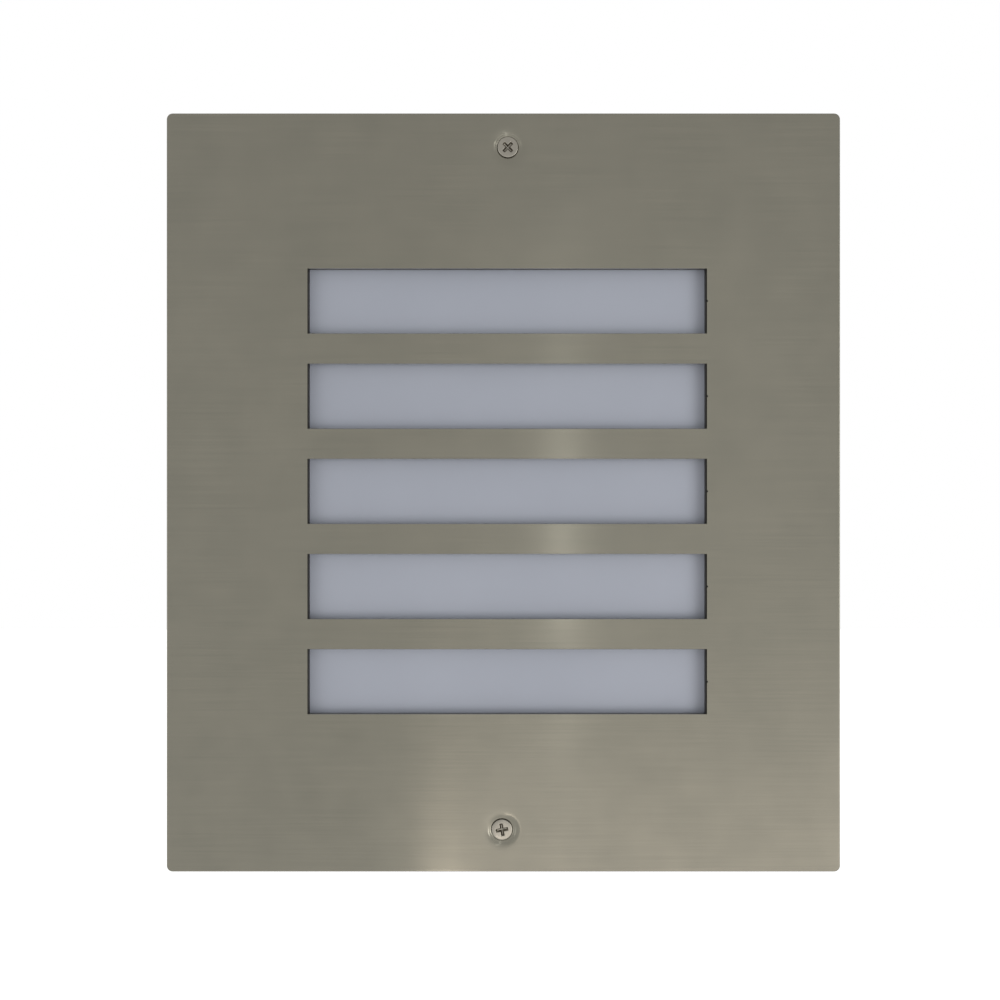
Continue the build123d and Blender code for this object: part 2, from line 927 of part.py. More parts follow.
def lampholder_body():
    """Glazed ceramic barrel with a bore for the shell and two wiring pockets."""
    barrel = turned_upright(
        [
            (0, holder_bottom),
            (holder_radius - holder_edge, holder_bottom),
            (holder_radius, holder_bottom + holder_edge),
            (holder_radius, holder_shoulder),
            (holder_rim_radius, holder_shoulder + holder_slope),
            (holder_rim_radius, holder_top - holder_edge),
            (holder_rim_radius - holder_edge, holder_top),
            (holder_bore_radius, holder_top),
            (holder_bore_radius, holder_floor),
            (0, holder_floor),
        ]
    )
    half = pocket_size / 2
    for y, z in terminal_places():
        barrel -= block(pocket_floor, holder_radius + 1, y - half, y + half, z - half, z + half)
    for y in holder_screw_places():
        end = holder_bottom - bracket_sheet + medium_screw_length + small_hole_spare
        barrel -= post(0, y, medium_screw_radius, holder_bottom - 1, end)
    return barrel


def lampholder_shell():
    """Threaded metal sleeve that grips the lamp's cap, turned in at its foot."""
    foot = shell_bottom + contact_sheet
    return turned_upright(
        [
            (shell_inside_radius - shell_lip, shell_bottom),
            (holder_bore_radius, shell_bottom),
            (holder_bore_radius, shell_top),
            (shell_inside_radius, shell_top),
            (shell_inside_radius, foot),
            (shell_inside_radius - shell_lip, foot),
        ]
    )


def lampholder_contact():
    """Springy centre tongue under the lamp's tip."""
    low = holder_floor
    points = [
        (-contact_foot_reach, low),
        (-contact_ramp_start, low),
        (-contact_pad_half, contact_top - contact_sheet),
        (contact_pad_half, contact_top - contact_sheet),
        (contact_pad_half, contact_top),
        (-contact_pad_half - contact_sheet / 2, contact_top),
        (-contact_ramp_start - contact_sheet / 2, low + contact_sheet),
        (-contact_foot_reach, low + contact_sheet),
    ]
    outline = Polyline(*[(x, lamp_axis_depth, z) for x, z in points], close=True)
    return extrude(make_face(outline), contact_width / 2, both=True)


def lampholder_terminals():
    """Brass blocks in the wiring pockets; each takes a lead from the right."""
    half = terminal_cube / 2
    cubes = []
    for y, z in terminal_places():
        cube = block(pocket_floor, terminal_face, y - half, y + half, z - half, z + half)
        mouth = Plane(origin=(terminal_face, y, z), z_dir=(1, 0, 0))
        cubes.append(cube - extrude(mouth * Circle(tube_bore), -lead_grip))
    return Compound(cubes)


# ---------------------------------------------------------------- lamp
def lamp_tip():
    return post(0, lamp_axis_depth, lamp_tip_radius, tip_foot, tip_top)


def lamp_insulator():
    """Glass cone between the tip and the cap."""
    return turned_upright(
        [
            (0, tip_top),
            (insulator_low_radius, tip_top),
            (insulator_high_radius, cap_foot),
            (insulator_high_radius, cap_foot + cap_wall),
            (0, cap_foot + cap_wall),
        ]
    )


def lamp_cap():
    """Screw cap, a plated shell."""
    return turned_upright(
        [
            (insulator_high_radius, cap_foot),
            (cap_radius - cap_rim, cap_foot),
            (cap_radius, cap_foot + cap_rim),
            (cap_radius, cap_top),
            (cap_radius - cap_wall, cap_top),
            (cap_radius - cap_wall, cap_foot + cap_rim + cap_wall / 2),
            (cap_radius - cap_rim - cap_wall / 2, cap_foot + cap_wall),
            (insulator_high_radius, cap_foot + cap_wall),
        ]
    )


def flare_arc(wall):
    """Start, middle and end of the arc from the neck to the globe, moved inward by a wall."""
    centre = neck_radius + flare_radius
    radius = flare_radius + wall
    sweep_angle = Vector(-1, 0).get_angle(Vector(seam_radius - centre, seam_height - neck_top))
    points = []
    for share in (0, 0.5, 1):
        angle = radians(180 - share * sweep_angle)
        points.append((centre + radius * cos(angle), lamp_axis_depth, neck_top + radius * sin(angle)))
    return points


def lamp_body():
    """White heat-conducting neck of the lamp, hollow, open toward the globe."""
    outside = flare_arc(0)
    inside = flare_arc(body_wall)
    y = lamp_axis_depth
    foot = (body_foot_radius, y, cap_top)
    edges = [
        Polyline(foot, (neck_radius, y, cap_top), outside[0]),
        ThreePointArc(*outside),
        Line(outside[2], inside[2]),
        ThreePointArc(*reversed(inside)),
        Polyline(inside[0], (body_foot_radius, y, neck_top), foot),
    ]
    return revolve(make_face(Curve() + edges), lamp_axis())


def lamp_globe():
    """Opal cover, a thin ball cut open where it meets the body."""
    y = lamp_axis_depth
    low = (seam_radius, y, seam_height)
    top = (0, y, globe_centre + globe_radius)
    inner_share = (globe_radius - globe_wall) / globe_radius
    inner_low = (seam_radius * inner_share, y, globe_centre + (seam_height - globe_centre) * inner_share)
    inner_top = (0, y, globe_centre + globe_radius - globe_wall)
    middle = (globe_radius, y, globe_centre)
    inner_middle = (globe_radius - globe_wall, y, globe_centre)
    edges = [
        ThreePointArc(low, middle, top),
        Line(top, inner_top),
        ThreePointArc(inner_top, inner_middle, inner_low),
        Line(inner_low, low),
    ]
    return revolve(make_face(Curve() + edges), lamp_axis())


def lamp_led_board():
    return post(0, lamp_axis_depth, led_board_radius, led_board_bottom, led_board_top)


def lamp_leds():
    """Light-emitting chips in a ring on their board."""
    chip = Box(led_size, led_size, led_height, align=(Align.CENTER, Align.CENTER, Align.MIN))
    ring_of = PolarLocations(led_circle_radius, led_count)
    seat = Pos(0, lamp_axis_depth, led_board_top)
    return Compound([seat * place * chip for place in ring_of])


# ---------------------------------------------------------------- terminal block and earth
def pole_places():
    """X of each pole of the terminal block."""
    middle = (pole_count - 1) / 2
    return [block_x + (i - middle) * pole_pitch for i in range(pole_count)]


def clamp_places():
    """Where each clamping screw stands: two to a pole."""
    heights = (block_z - clamp_screw_offset, block_z + clamp_screw_offset)
    return [(x, z) for x in pole_places() for z in heights]


def terminal_block():
    half = block_base_width / 2
    body = block(
        block_x - half,
        block_x + half,
        block_back - block_base,
        block_back,
        block_z - block_base_height / 2,
        block_z + block_base_height / 2,
    )
    for x in pole_places():
        body += slab(
            tower_width, tower_height, tower_corner, block_front, block_back, x=x, z=block_z
        )
    for x in pole_places():
        body -= post(x, tube_depth, tube_radius, block_z - tower_height, block_z + tower_height)
    for x, z in clamp_places():
        body -= rod(x, z, clamp_screw_head_radius + clamp_screw_play, block_front - 1, tube_depth)
    for x, z in block_screw_places():
        body -= rod(x, z, small_screw_radius, block_back - block_base - 1, block_back + 1)
    return body


def terminal_tubes():
    """Brass tubes that join the supply side to the lamp side."""
    tubes = []
    half = tube_length / 2
    for x in pole_places():
        tube = post(x, tube_depth, tube_radius, block_z - half, block_z + half)
        tube -= post(x, tube_depth, tube_bore, block_z - half - 1, block_z + half + 1)
        for z in (block_z - clamp_screw_offset, block_z + clamp_screw_offset):
            tube -= rod(x, z, clamp_screw_radius, block_front, tube_depth)
        tubes.append(tube)
    return Compound(tubes)


def clamp_screws():
    """Slotted screws that pinch the wires in the tubes."""
    top = block_front + clamp_screw_sink
    seat = top + clamp_screw_head_height
    tip = tube_depth - lead_radius
    radius = clamp_screw_head_radius
    half = driver_slot_width / 2
    head = rod(0, 0, radius, top, seat)
    head -= block(-radius, radius, top, top + driver_slot_depth, -half, half)
    screw = head + rod(0, 0, clamp_screw_radius, seat, tip)
    return Compound([Pos(x, 0, z) * screw for x, z in clamp_places()])


def terminal_block_screws():
    seat = block_back - block_base
    return Compound([Pos(x, seat, z) * small_screw() for x, z in block_screw_places()])


def earth_ring():
    """Crimped ring terminal, its barrel pointing down."""
    bore = medium_screw_radius + thread_play
    eye = ring(earth_x, earth_z, bore, ring_radius, earth_ring_front, earth_seat)
    neck = block(
        earth_x - barrel_radius / 2,
        earth_x + barrel_radius / 2,
        earth_ring_front,
        earth_seat,
        barrel_top - neck_overlap,
        barrel_top + neck_overlap,
    )
    barrel = post(earth_x, earth_lead_depth, barrel_radius, barrel_foot, barrel_top)
    barrel -= post(earth_x, earth_lead_depth, lead_radius, barrel_foot - 1, barrel_foot + lead_grip)
    return eye + neck + barrel


def earth_screw():
    return Pos(earth_x, earth_ring_front, earth_z) * medium_screw()


# ---------------------------------------------------------------- leads
def lead(name, points):
    """Insulated wire along straight runs joined by arcs as large as their runs allow."""
    corners = [Vector(*point) for point in points]
    radii = []
    for before, at, after in zip(corners, corners[1:], corners[2:]):
        turn = radians((at - before).get_angle(after - at))
        shorter = min((at - before).length, (after - at).length)
        radii.append(0.45 * shorter / tan(turn / 2))
    path = FilletPolyline(*points, radius=radii)
    wire = sweep(Plane(origin=path @ 0, z_dir=path % 0) * Circle(lead_radius), path=path)
    filled = wire.volume / (pi * lead_radius**2 * path.length)
    print(name, "bend radii", [round(radius, 1) for radius in radii], "volume check", round(filled, 4))
    return wire


def holder_lead(name, pole_x, pocket_y, rise, swing):
    """Lead from the top of a pole, over and down into a pocket of the lampholder."""
    high = tube_end_high + rise
    beside = holder_radius + lead_hang
    return lead(
        name,
        [
            (pole_x, tube_depth, tube_end_high - lead_grip),
            (pole_x, tube_depth, high),
            (pole_x - swing, tube_depth - lead_hang, high + lead_crown),
            (beside + lead_crown / 2, (tube_depth + pocket_y) / 2, high + lead_crown / 3),
            (beside, pocket_y, holder_pocket_z + lead_hang),
            (beside - lead_entry, pocket_y, holder_pocket_z),
            (terminal_face - lead_grip, pocket_y, holder_pocket_z),
        ],
    )


def lead_live():
    x = pole_places()[1]
    return holder_lead("lead_live", x, lamp_axis_depth + pocket_spread, live_rise, live_swing)


def lead_neutral():
    x = pole_places()[2]
    return holder_lead(
        "lead_neutral", x, lamp_axis_depth - pocket_spread, neutral_rise, neutral_swing
    )


def lead_earth():
    x = pole_places()[0]
    y = earth_lead_depth - lead_radius
    low = holder_bottom - earth_below_holder
    return lead(
        "lead_earth",
        [
            (earth_x, earth_lead_depth, barrel_foot + lead_grip),
            (earth_x, earth_lead_depth, barrel_foot - earth_drop),
            (earth_x + earth_drop, y, low),
            (x - earth_sweep, y, low),
            (x, tube_depth, tube_end_low - lead_hang),
            (x, tube_depth, tube_end_low + lead_grip),
        ],
    )


# ---------------------------------------------------------------- cable gland
def gland_body():
    """Threaded sleeve through the back of the box, with a hexagon and a cup for the seal."""
    sleeve = rod(gland_x, gland_z, gland_thread_radius, gland_front, gland_hex_front)
    sleeve += hexagon(gland_x, gland_z, gland_hex, gland_hex_front, gland_hex_back)
    sleeve += rod(gland_x, gland_z, gland_cup_radius, gland_hex_back, gland_cup_back)
    sleeve -= rod(gland_x, gland_z, gland_wall_bore, gland_front - 1, seal_front)
    return sleeve - rod(gland_x, gland_z, gland_seat_bore, seal_front, gland_cup_back + 1)


def gland_washer():
    return ring(
        gland_x, gland_z, gland_thread_radius, gland_washer_radius, box_depth, gland_hex_front
    )


def gland_locknut():
    front = box_floor - locknut_height
    nut = hexagon(gland_x, gland_z, locknut_hex, front, box_floor)
    return nut - rod(gland_x, gland_z, gland_thread_radius, front - 1, box_floor + 1)


def gland_seal():
    """Rubber bush that closes on the cable."""
    return ring(gland_x, gland_z, cable_bore, gland_seat_bore, seal_front, seal_back)


def gland_slip_ring():
    bore = cable_bore + slip_ring_play
    return ring(gland_x, gland_z, bore, gland_seat_bore, slip_ring_front, slip_ring_back)


def gland_dome_nut():
    """Domed nut that presses the seal."""
    crown_back = dome_front + dome_length
    skirt_back = dome_front + dome_hex_length
    shell = hexagon(gland_x, gland_z, gland_hex, dome_front, skirt_back)
    shell += turned_along_y(
        gland_x,
        gland_z,
        [
            (0, dome_front),
            (dome_crown_radius, dome_front),
            (dome_crown_radius, skirt_back),
            (dome_crown_radius - dome_crown_step, (skirt_back + crown_back) / 2),
            (dome_end_radius, crown_back),
            (0, crown_back),
        ],
    )
    shell -= rod(gland_x, gland_z, gland_cup_radius + thread_play, dome_front - 1, slip_ring_back)
    return shell - rod(gland_x, gland_z, dome_mouth_radius, dome_front, crown_back + 1)


# ---------------------------------------------------------------- write every node
nodes = {
    "face_plate": face_plate(),
    "weld_studs": weld_studs(),
    "diffuser_gasket": diffuser_gasket(),
    "diffuser_glass": diffuser_glass(),
    "glass_clips": glass_clips(),
    "clip_pads": clip_pads(),
    "clip_washers": clip_washers(),
    "clip_nuts": clip_nuts(),
    "top_screw": plate_screw(screw_places[0], top_cross_turn),
    "top_screw_washer": plate_screw_washer(screw_places[0]),
    "bottom_screw": plate_screw(screw_places[1], bottom_cross_turn),
    "bottom_screw_washer": plate_screw_washer(screw_places[1]),
    "housing": housing(),
    "rim_gasket": rim_gasket(),
    "screw_inserts": screw_inserts(),
    "reflector": reflector(),
    "reflector_screws": reflector_screws(),
    "lampholder_bracket": lampholder_bracket(),
    "bracket_screws": bracket_screws(),
    "lampholder_body": lampholder_body(),
    "holder_screws": holder_screws(),
    "lampholder_shell": lampholder_shell(),
    "lampholder_contact": lampholder_contact(),
    "lampholder_terminals": lampholder_terminals(),
    "lamp_tip": lamp_tip(),
    "lamp_insulator": lamp_insulator(),
    "lamp_cap": lamp_cap(),
    "lamp_body": lamp_body(),
    "lamp_globe": lamp_globe(),
    "lamp_led_board": lamp_led_board(),
    "lamp_leds": lamp_leds(),
    "terminal_block": terminal_block(),
    "terminal_tubes": terminal_tubes(),
    "clamp_screws": clamp_screws(),
    "terminal_block_screws": terminal_block_screws(),
    "earth_ring": earth_ring(),
    "earth_screw": earth_screw(),
    "lead_live": lead_live(),
    "lead_neutral": lead_neutral(),
    "lead_earth": lead_earth(),
    "gland_body": gland_body(),
    "gland_washer": gland_washer(),
    "gland_locknut": gland_locknut(),
    "gland_seal": gland_seal(),
    "gland_slip_ring": gland_slip_ring(),
    "gland_dome_nut": gland_dome_nut(),
}

os.makedirs("parts", exist_ok=True)
for name, shape in nodes.items():
    export_step(shape, f"parts/{name}.step")
print(len(nodes), "nodes written")
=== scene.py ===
# %% [markdown]
# # A recessed step light
#
# The object is a brushed stainless face plate with five slots, a frosted glass behind them, and
# a cast box in the wall that holds a screw-in lamp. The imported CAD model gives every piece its
# place. This lesson dresses it: each cell builds one piece or one finish, and says why that way
# was chosen. Lengths are in metres, as Blender has them, and `mm` turns drawing sizes into metres.

import json
from math import ceil, cos, floor, pi, radians, sin, sqrt, tan

import bmesh
import bpy
from mathutils import Matrix, Vector


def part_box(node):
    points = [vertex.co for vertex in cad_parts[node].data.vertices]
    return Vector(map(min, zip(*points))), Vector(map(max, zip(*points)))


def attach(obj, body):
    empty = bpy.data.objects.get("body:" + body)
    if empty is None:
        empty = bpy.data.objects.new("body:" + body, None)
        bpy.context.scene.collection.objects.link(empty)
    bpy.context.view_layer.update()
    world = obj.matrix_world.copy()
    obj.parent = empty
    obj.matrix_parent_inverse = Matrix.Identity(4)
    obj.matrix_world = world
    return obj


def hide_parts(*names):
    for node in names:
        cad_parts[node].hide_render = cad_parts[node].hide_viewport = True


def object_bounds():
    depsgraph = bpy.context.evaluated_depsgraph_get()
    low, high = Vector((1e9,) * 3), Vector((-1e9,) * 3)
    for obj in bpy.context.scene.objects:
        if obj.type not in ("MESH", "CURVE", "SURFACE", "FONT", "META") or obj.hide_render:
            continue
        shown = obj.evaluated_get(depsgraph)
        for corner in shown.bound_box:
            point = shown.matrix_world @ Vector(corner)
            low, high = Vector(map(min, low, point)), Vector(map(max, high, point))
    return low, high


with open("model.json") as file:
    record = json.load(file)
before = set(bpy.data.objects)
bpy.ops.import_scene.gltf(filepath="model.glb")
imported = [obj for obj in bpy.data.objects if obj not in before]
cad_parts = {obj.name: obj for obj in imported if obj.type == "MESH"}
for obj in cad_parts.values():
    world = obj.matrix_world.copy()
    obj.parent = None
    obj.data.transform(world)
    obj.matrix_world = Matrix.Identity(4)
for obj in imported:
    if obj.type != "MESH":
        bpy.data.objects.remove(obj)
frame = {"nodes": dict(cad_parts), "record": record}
cad_low, cad_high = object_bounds()
nodes = frame["nodes"]
mm = 0.001
print("CAD box in mm", [round(v / mm, 1) for v in cad_low], [round(v / mm, 1) for v in cad_high])

# %% [markdown]
# ## Small tools
#
# Colours are written as sRGB hex values, the way a paint chart gives them, and one function turns
# them into the linear values that the shader needs. One more function adds a shader node with its
# settings and links. Everything else in the materials is built from these two.


# %% Colours and shader nodes
def linear(colour, alpha=1.0):
    """Linear RGBA of a hex colour such as 'A0B1C2'."""
    parts = [int(colour[i : i + 2], 16) / 255 for i in (0, 2, 4)]
    return [c / 12.92 if c <= 0.04045 else ((c + 0.055) / 1.055) ** 2.4 for c in parts] + [alpha]


def add(tree, kind, settings=None, links=None):
    """New node: settings fill its sockets or its properties, links join other nodes' outputs."""
    made = tree.nodes.new(kind)
    for name, value in (settings or {}).items():
        if name in made.inputs:
            made.inputs[name].default_value = value
        else:
            setattr(made, name, value)
    for name, output in (links or {}).items():
        tree.links.new(output, made.inputs[name])
    return made


print("mid grey 808080 is", round(linear("808080")[0], 3), "in linear light")

# %% [markdown]
# ## A recipe for moulded, cast, turned and coated surfaces
#
# Most surfaces here differ in the same few things: two close colours that drift into each other
# over millimetres or centimetres, a grain that the tool or the coating left, and edges that are
# never perfectly sharp. So one recipe takes those as real sizes. The drift also moves the
# roughness a little, because a handled or aged patch is both darker and duller. The Bevel node
# rounds the look of an edge without touching the CAD mesh.


# %% The shared recipe
def between(tree, value, low, high):
    """Maps a 0 to 1 value onto a range."""
    made = add(tree, "ShaderNodeMapRange", {"To Min": low, "To Max": high}, {"Value": value})
    return made.outputs["Result"]


def blend_colours(tree, value, dark, light, start=0.3, stop=0.7):
    """Runs from one hex colour to another as a value goes from start to stop."""
    ramp = add(tree, "ShaderNodeValToRGB", links={"Fac": value})
    ramp.color_ramp.elements[0].position = start
    ramp.color_ramp.elements[1].position = stop
    ramp.color_ramp.elements[0].color = linear(dark)
    ramp.color_ramp.elements[1].color = linear(light)
    return ramp.outputs["Color"]


def noise(tree, size, detail, place):
    """0 to 1 value that wanders over about this size."""
    settings = {"Scale": 1 / size, "Detail": detail}
    return add(tree, "ShaderNodeTexNoise", settings, {"Vector": place}).outputs["Fac"]


def new_material(name, sockets):
    """Material with a bare Principled shader, and its tree, shader and coordinates."""
    material = bpy.data.materials.new(name)
    material.use_nodes = True
    tree = material.node_tree
    tree.nodes.clear()
    shader = add(tree, "ShaderNodeBsdfPrincipled", sockets)
    add(tree, "ShaderNodeOutputMaterial", links={"Surface": shader.outputs["BSDF"]})
    place = add(tree, "ShaderNodeTexCoord").outputs["Object"]
    return material, tree, shader, place


roughness_drift = 0.05


def surface(name, dark, light, roughness, drift_mm, grain_mm, depth_mm, edge_mm=0.2, sockets=None):
    """Material of two close colours with a drift, a grain of a given depth, and soft edges."""
    material, tree, shader, place = new_material(name, sockets)
    drift = noise(tree, drift_mm * mm, 3.0, place)
    grain = noise(tree, grain_mm * mm, 2.0, place)
    edge = add(tree, "ShaderNodeBevel", {"Radius": edge_mm * mm, "samples": 4})
    bump = add(
        tree,
        "ShaderNodeBump",
        {"Strength": 1.0, "Distance": depth_mm * mm},
        {"Height": grain, "Normal": edge.outputs["Normal"]},
    )
    dull = between(tree, drift, roughness + roughness_drift, roughness - roughness_drift)
    tree.links.new(blend_colours(tree, drift, dark, light), shader.inputs["Base Color"])
    tree.links.new(dull, shader.inputs["Roughness"])
    tree.links.new(bump.outputs["Normal"], shader.inputs["Normal"])
    return material


metal = {"Metallic": 1.0}
print("the recipe takes two colours, a roughness and four sizes in mm")

# %% [markdown]
# ## Brushed stainless steel, for the face plate
#
# The plate is 304 stainless sheet, drawn under an abrasive belt from side to side. The belt
# leaves fine level scratches, so a reflection stays narrow across the plate and is smeared up and
# down it. That is anisotropy: a highlight stretches at right angles to the grain. The shader
# takes it as a constant, with its tangent laid upright in a UV map of its own. The scratches
# themselves are about 0.1 mm wide and 20 to 60 mm long. That is too fine to show at this
# distance, so they are drawn 0.35 mm wide and faint, as noise pulled long by a stretched
# mapping. Handling leaves broad, hardly visible clouds on satin steel, which are the last layer.

# %% Brushed stainless steel
scratch_width = 0.35 * mm
scratch_length = 40 * mm
scratch_depth = 0.004 * mm
cloud_size = 14 * mm
scratch_share, cloud_share = 0.6, 0.4  # of the drift between the two colours
brushed_stainless, tree, shader, place = new_material(
    "brushed_stainless_304", {"Metallic": 1.0, "Anisotropic": 0.92}
)
stretched = add(
    tree,
    "ShaderNodeMapping",
    {"Scale": (1 / scratch_length, 1 / scratch_length, 1 / scratch_width)},
    {"Vector": place},
).outputs["Vector"]
scratches = noise(tree, 1.0, 3.0, stretched)
clouds = noise(tree, cloud_size, 2.0, place)
mixed = add(tree, "ShaderNodeMath", {"operation": "ADD"})
tree.links.new(between(tree, scratches, 0.0, scratch_share), mixed.inputs[0])
tree.links.new(between(tree, clouds, 0.0, cloud_share), mixed.inputs[1])
grain_bump = add(
    tree, "ShaderNodeBump", {"Strength": 0.3, "Distance": scratch_depth}, {"Height": scratches}
)
upright = add(tree, "ShaderNodeTangent", {"direction_type": "UV_MAP", "uv_map": "grain"})
tree.links.new(
    blend_colours(tree, mixed.outputs[0], "727066", "7B786D"), shader.inputs["Base Color"]
)
tree.links.new(between(tree, clouds, 0.22, 0.19), shader.inputs["Roughness"])
tree.links.new(grain_bump.outputs["Normal"], shader.inputs["Normal"])
tree.links.new(upright.outputs["Tangent"], shader.inputs["Tangent"])
print("scratches", scratch_width / mm, "mm wide,", scratch_length / mm, "mm long")

# %% [markdown]
# ## Frosted glass
#
# The diffuser is float glass, acid-etched on its face. Etching leaves a skin of tiny facets that
# throws light about, so nothing behind it shows and the unlit pane looks like pale blue-grey
# wax. A wholly transparent shader would show a dark box behind it. Here a dense base colour does
# the work, with a little transmission, and a fine bump for the etched skin.

# %% Frosted glass
frosted_glass = surface(
    "frosted_float_glass",
    "AFB4C0",
    "B4B9C5",
    0.5,
    drift_mm=60,
    grain_mm=0.5,
    depth_mm=0.004,
    sockets={"IOR": 1.52, "Transmission Weight": 0.08},
)
print("glass", frosted_glass.name)

# %% [markdown]
# ## The other finishes
#
# Each row below is one real finish. Cast aluminium is shot-blasted: a 0.5 mm pebbled skin that
# scatters light, drawn 1.5 mm wide so that it shows. Turned stainless, zinc plate, nickel and
# brass are smooth metals that differ in colour and polish. Rubber and nylon are dull. Porcelain
# and enamel are glassy over an opaque ground, which is a coat over a rough base. Opal plastic
# lets light a few millimetres in before it comes out again. A metal keeps the default IOR.

# %% Metals
# slot: material, dark and light colour, roughness, then drift, grain, depth and edge in mm
metal_rows = {
    "stainless_fastener": ("turned_stainless_a2", "868279", "908C82", 0.24, 6, 0.25, 0.004, 0.12),
    "spring_steel": ("spring_steel_strip", "8B8D90", "9A9C9F", 0.3, 10, 0.3, 0.004, 0.15),
    "cast_aluminium": (
        "shot_blasted_cast_aluminium", "A2A4A5", "A9ABAC", 0.5, 2.2, 1.5, 0.09, 0.5
    ),
    "brass": ("turned_brass", "A88A4C", "BFA05C", 0.27, 8, 0.3, 0.004, 0.12),
    "zinc_plated_steel": ("bright_zinc_plate", "A7ABAE", "B6BABD", 0.26, 12, 0.4, 0.005, 0.2),
    "nickel_plate": ("nickel_plated_brass", "B3B0A8", "C2BFB8", 0.17, 20, 0.5, 0.003, 0.15),
    "phosphor_bronze": ("phosphor_bronze", "B07D4F", "BF8B5C", 0.28, 8, 0.3, 0.004, 0.1),
    "soft_solder": ("tin_solder", "9DA0A3", "AEB1B4", 0.33, 2, 0.6, 0.03, 0.2),
    "tinned_copper": ("tinned_copper", "A9A9A6", "B5B5B2", 0.3, 4, 0.3, 0.006, 0.1),
}
finishes = {"brushed_stainless": brushed_stainless, "frosted_glass": frosted_glass}
for slot, row in metal_rows.items():
    finishes[slot] = surface(*row, metal)
print(len(finishes), "finishes so far")

# %% Plastics, rubber, ceramic and enamel
glassy = {"Coat Weight": 0.8, "Coat Roughness": 0.06, "IOR": 1.5}
opal = {"IOR": 1.58, "Subsurface Weight": 0.25, "Subsurface Scale": 2 * mm}
other_rows = {
    "black_rubber": ("black_epdm_rubber", "2B2A29", "353433", 0.78, 20, 0.4, 0.02, 0.25),
    "grey_silicone": ("grey_silicone", "7F8183", "8A8C8E", 0.6, 8, 0.5, 0.01, 0.2),
    "natural_nylon": ("natural_nylon", "D5D2C6", "DEDBD0", 0.42, 6, 0.3, 0.006, 0.1),
    "white_enamel": ("white_stove_enamel", "E4E4E0", "EAEAE7", 0.3, 60, 2.5, 0.02, 0.3, glassy),
    "glazed_ceramic": ("glazed_porcelain", "DDDACF", "E6E3DA", 0.28, 14, 1.6, 0.02, 0.5, glassy),
    "black_glass": ("black_insulating_glass", "141417", "1B1B1F", 0.2, 5, 0.8, 0.004, 0.2, glassy),
    "white_thermoplastic": (
        "white_polycarbonate_blend", "DEDEDC", "E6E6E4", 0.46, 25, 0.5, 0.008, 0.3
    ),
    "opal_cover": ("opal_polycarbonate", "E9E9E6", "F0F0ED", 0.35, 30, 0.6, 0.004, 0.2, opal),
    "white_board": ("white_solder_mask", "DFE0DF", "E6E7E6", 0.38, 12, 0.5, 0.004, 0.1),
    "led_phosphor": ("yellow_phosphor", "D8BF55", "E2CB66", 0.5, 1.0, 0.2, 0.01, 0.1),
    "white_polyamide": ("white_polyamide", "D9D6CB", "E1DED4", 0.45, 12, 0.4, 0.01, 0.25),
    "brown_insulation": ("brown_pvc_insulation", "5A3421", "65402B", 0.42, 15, 0.5, 0.006, 0.1),
    "blue_insulation": ("blue_pvc_insulation", "1F5699", "2C64A6", 0.42, 15, 0.5, 0.006, 0.1),
    "black_polyamide": ("black_polyamide", "1D1D1E", "262627", 0.5, 18, 0.35, 0.015, 0.3),
}
for slot, row in other_rows.items():
    finishes[slot] = surface(*row)
print(len(finishes), "finishes so far")

# %% [markdown]
# ## Green and yellow insulation
#
# The earth lead's insulation is extruded in two colours, which run side by side along the wire.
# The sleeve's UV has one direction round the wire, so a sharp ramp over that direction draws the
# stripes, two yellow and two green.

# %% Earth lead's insulation
stripes = 2
green_yellow, tree, shader, place = new_material(
    "green_yellow_pvc_insulation", {"Roughness": 0.42}
)
sleeve = add(tree, "ShaderNodeTexCoord").outputs["UV"]
split = add(tree, "ShaderNodeSeparateXYZ", links={"Vector": sleeve})
round_wire = add(tree, "ShaderNodeMath", {"operation": "PINGPONG"}, {0: split.outputs["Y"]})
round_wire.inputs[1].default_value = 0.5 / stripes
green_to_yellow = blend_colours(
    tree, round_wire.outputs[0], "3E8A3A", "D8C02E", 0.24 / stripes, 0.26 / stripes
)
tree.links.new(green_to_yellow, shader.inputs["Base Color"])
finishes["green_yellow_insulation"] = green_yellow
print("stripes round the earth lead:", 2 * stripes)

# %% [markdown]
# ## Dressing the CAD nodes
#
# The record names a material slot for every node, so the finishes can be handed out in a loop.
# Nodes that get a finer mesh later keep their slot's finish too.

# %% Finish of each node
slot_of = {part["node"]: part["material_slot"] for part in frame["record"]["subparts"]}
for name, node in nodes.items():
    node.data.materials.clear()
    node.data.materials.append(finishes[slot_of[name]])
print(len(nodes), "nodes dressed,", len(set(slot_of.values())), "finishes in use")

# %% [markdown]
# ## Making pieces from rings
#
# Turned, threaded and six-sided pieces are all stacks of rings round an axis: a ring is a radius,
# or a rule that gives a radius for each angle, at some height. A screw thread is such a rule too,
# because its crest climbs by one pitch in each turn. A stack that ends in radius 0 closes itself
# with a point, and a tube joins its last ring to its first.


# %% Rings to mesh
def finish_piece(name, points, faces, body, replaced, soft_angle=35):
    """Object from points and faces, smooth but for its sharp edges, riding on its CAD body."""
    mesh = bpy.data.meshes.new(name)
    mesh.from_pydata([tuple(p) for p in points], [], faces)
    mesh.validate()
    working = bmesh.new()
    working.from_mesh(mesh)
    bmesh.ops.recalc_face_normals(working, faces=working.faces)
    working.to_mesh(mesh)
    working.free()
    mesh.shade_smooth()
    mesh.set_sharp_from_angle(angle=radians(soft_angle))
    piece = bpy.data.objects.new(name, mesh)
    bpy.context.scene.collection.objects.link(piece)
    slot = slot_of[replaced]
    mesh.materials.append(finishes[slot])
    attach(piece, body)
    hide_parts(replaced)
    return piece


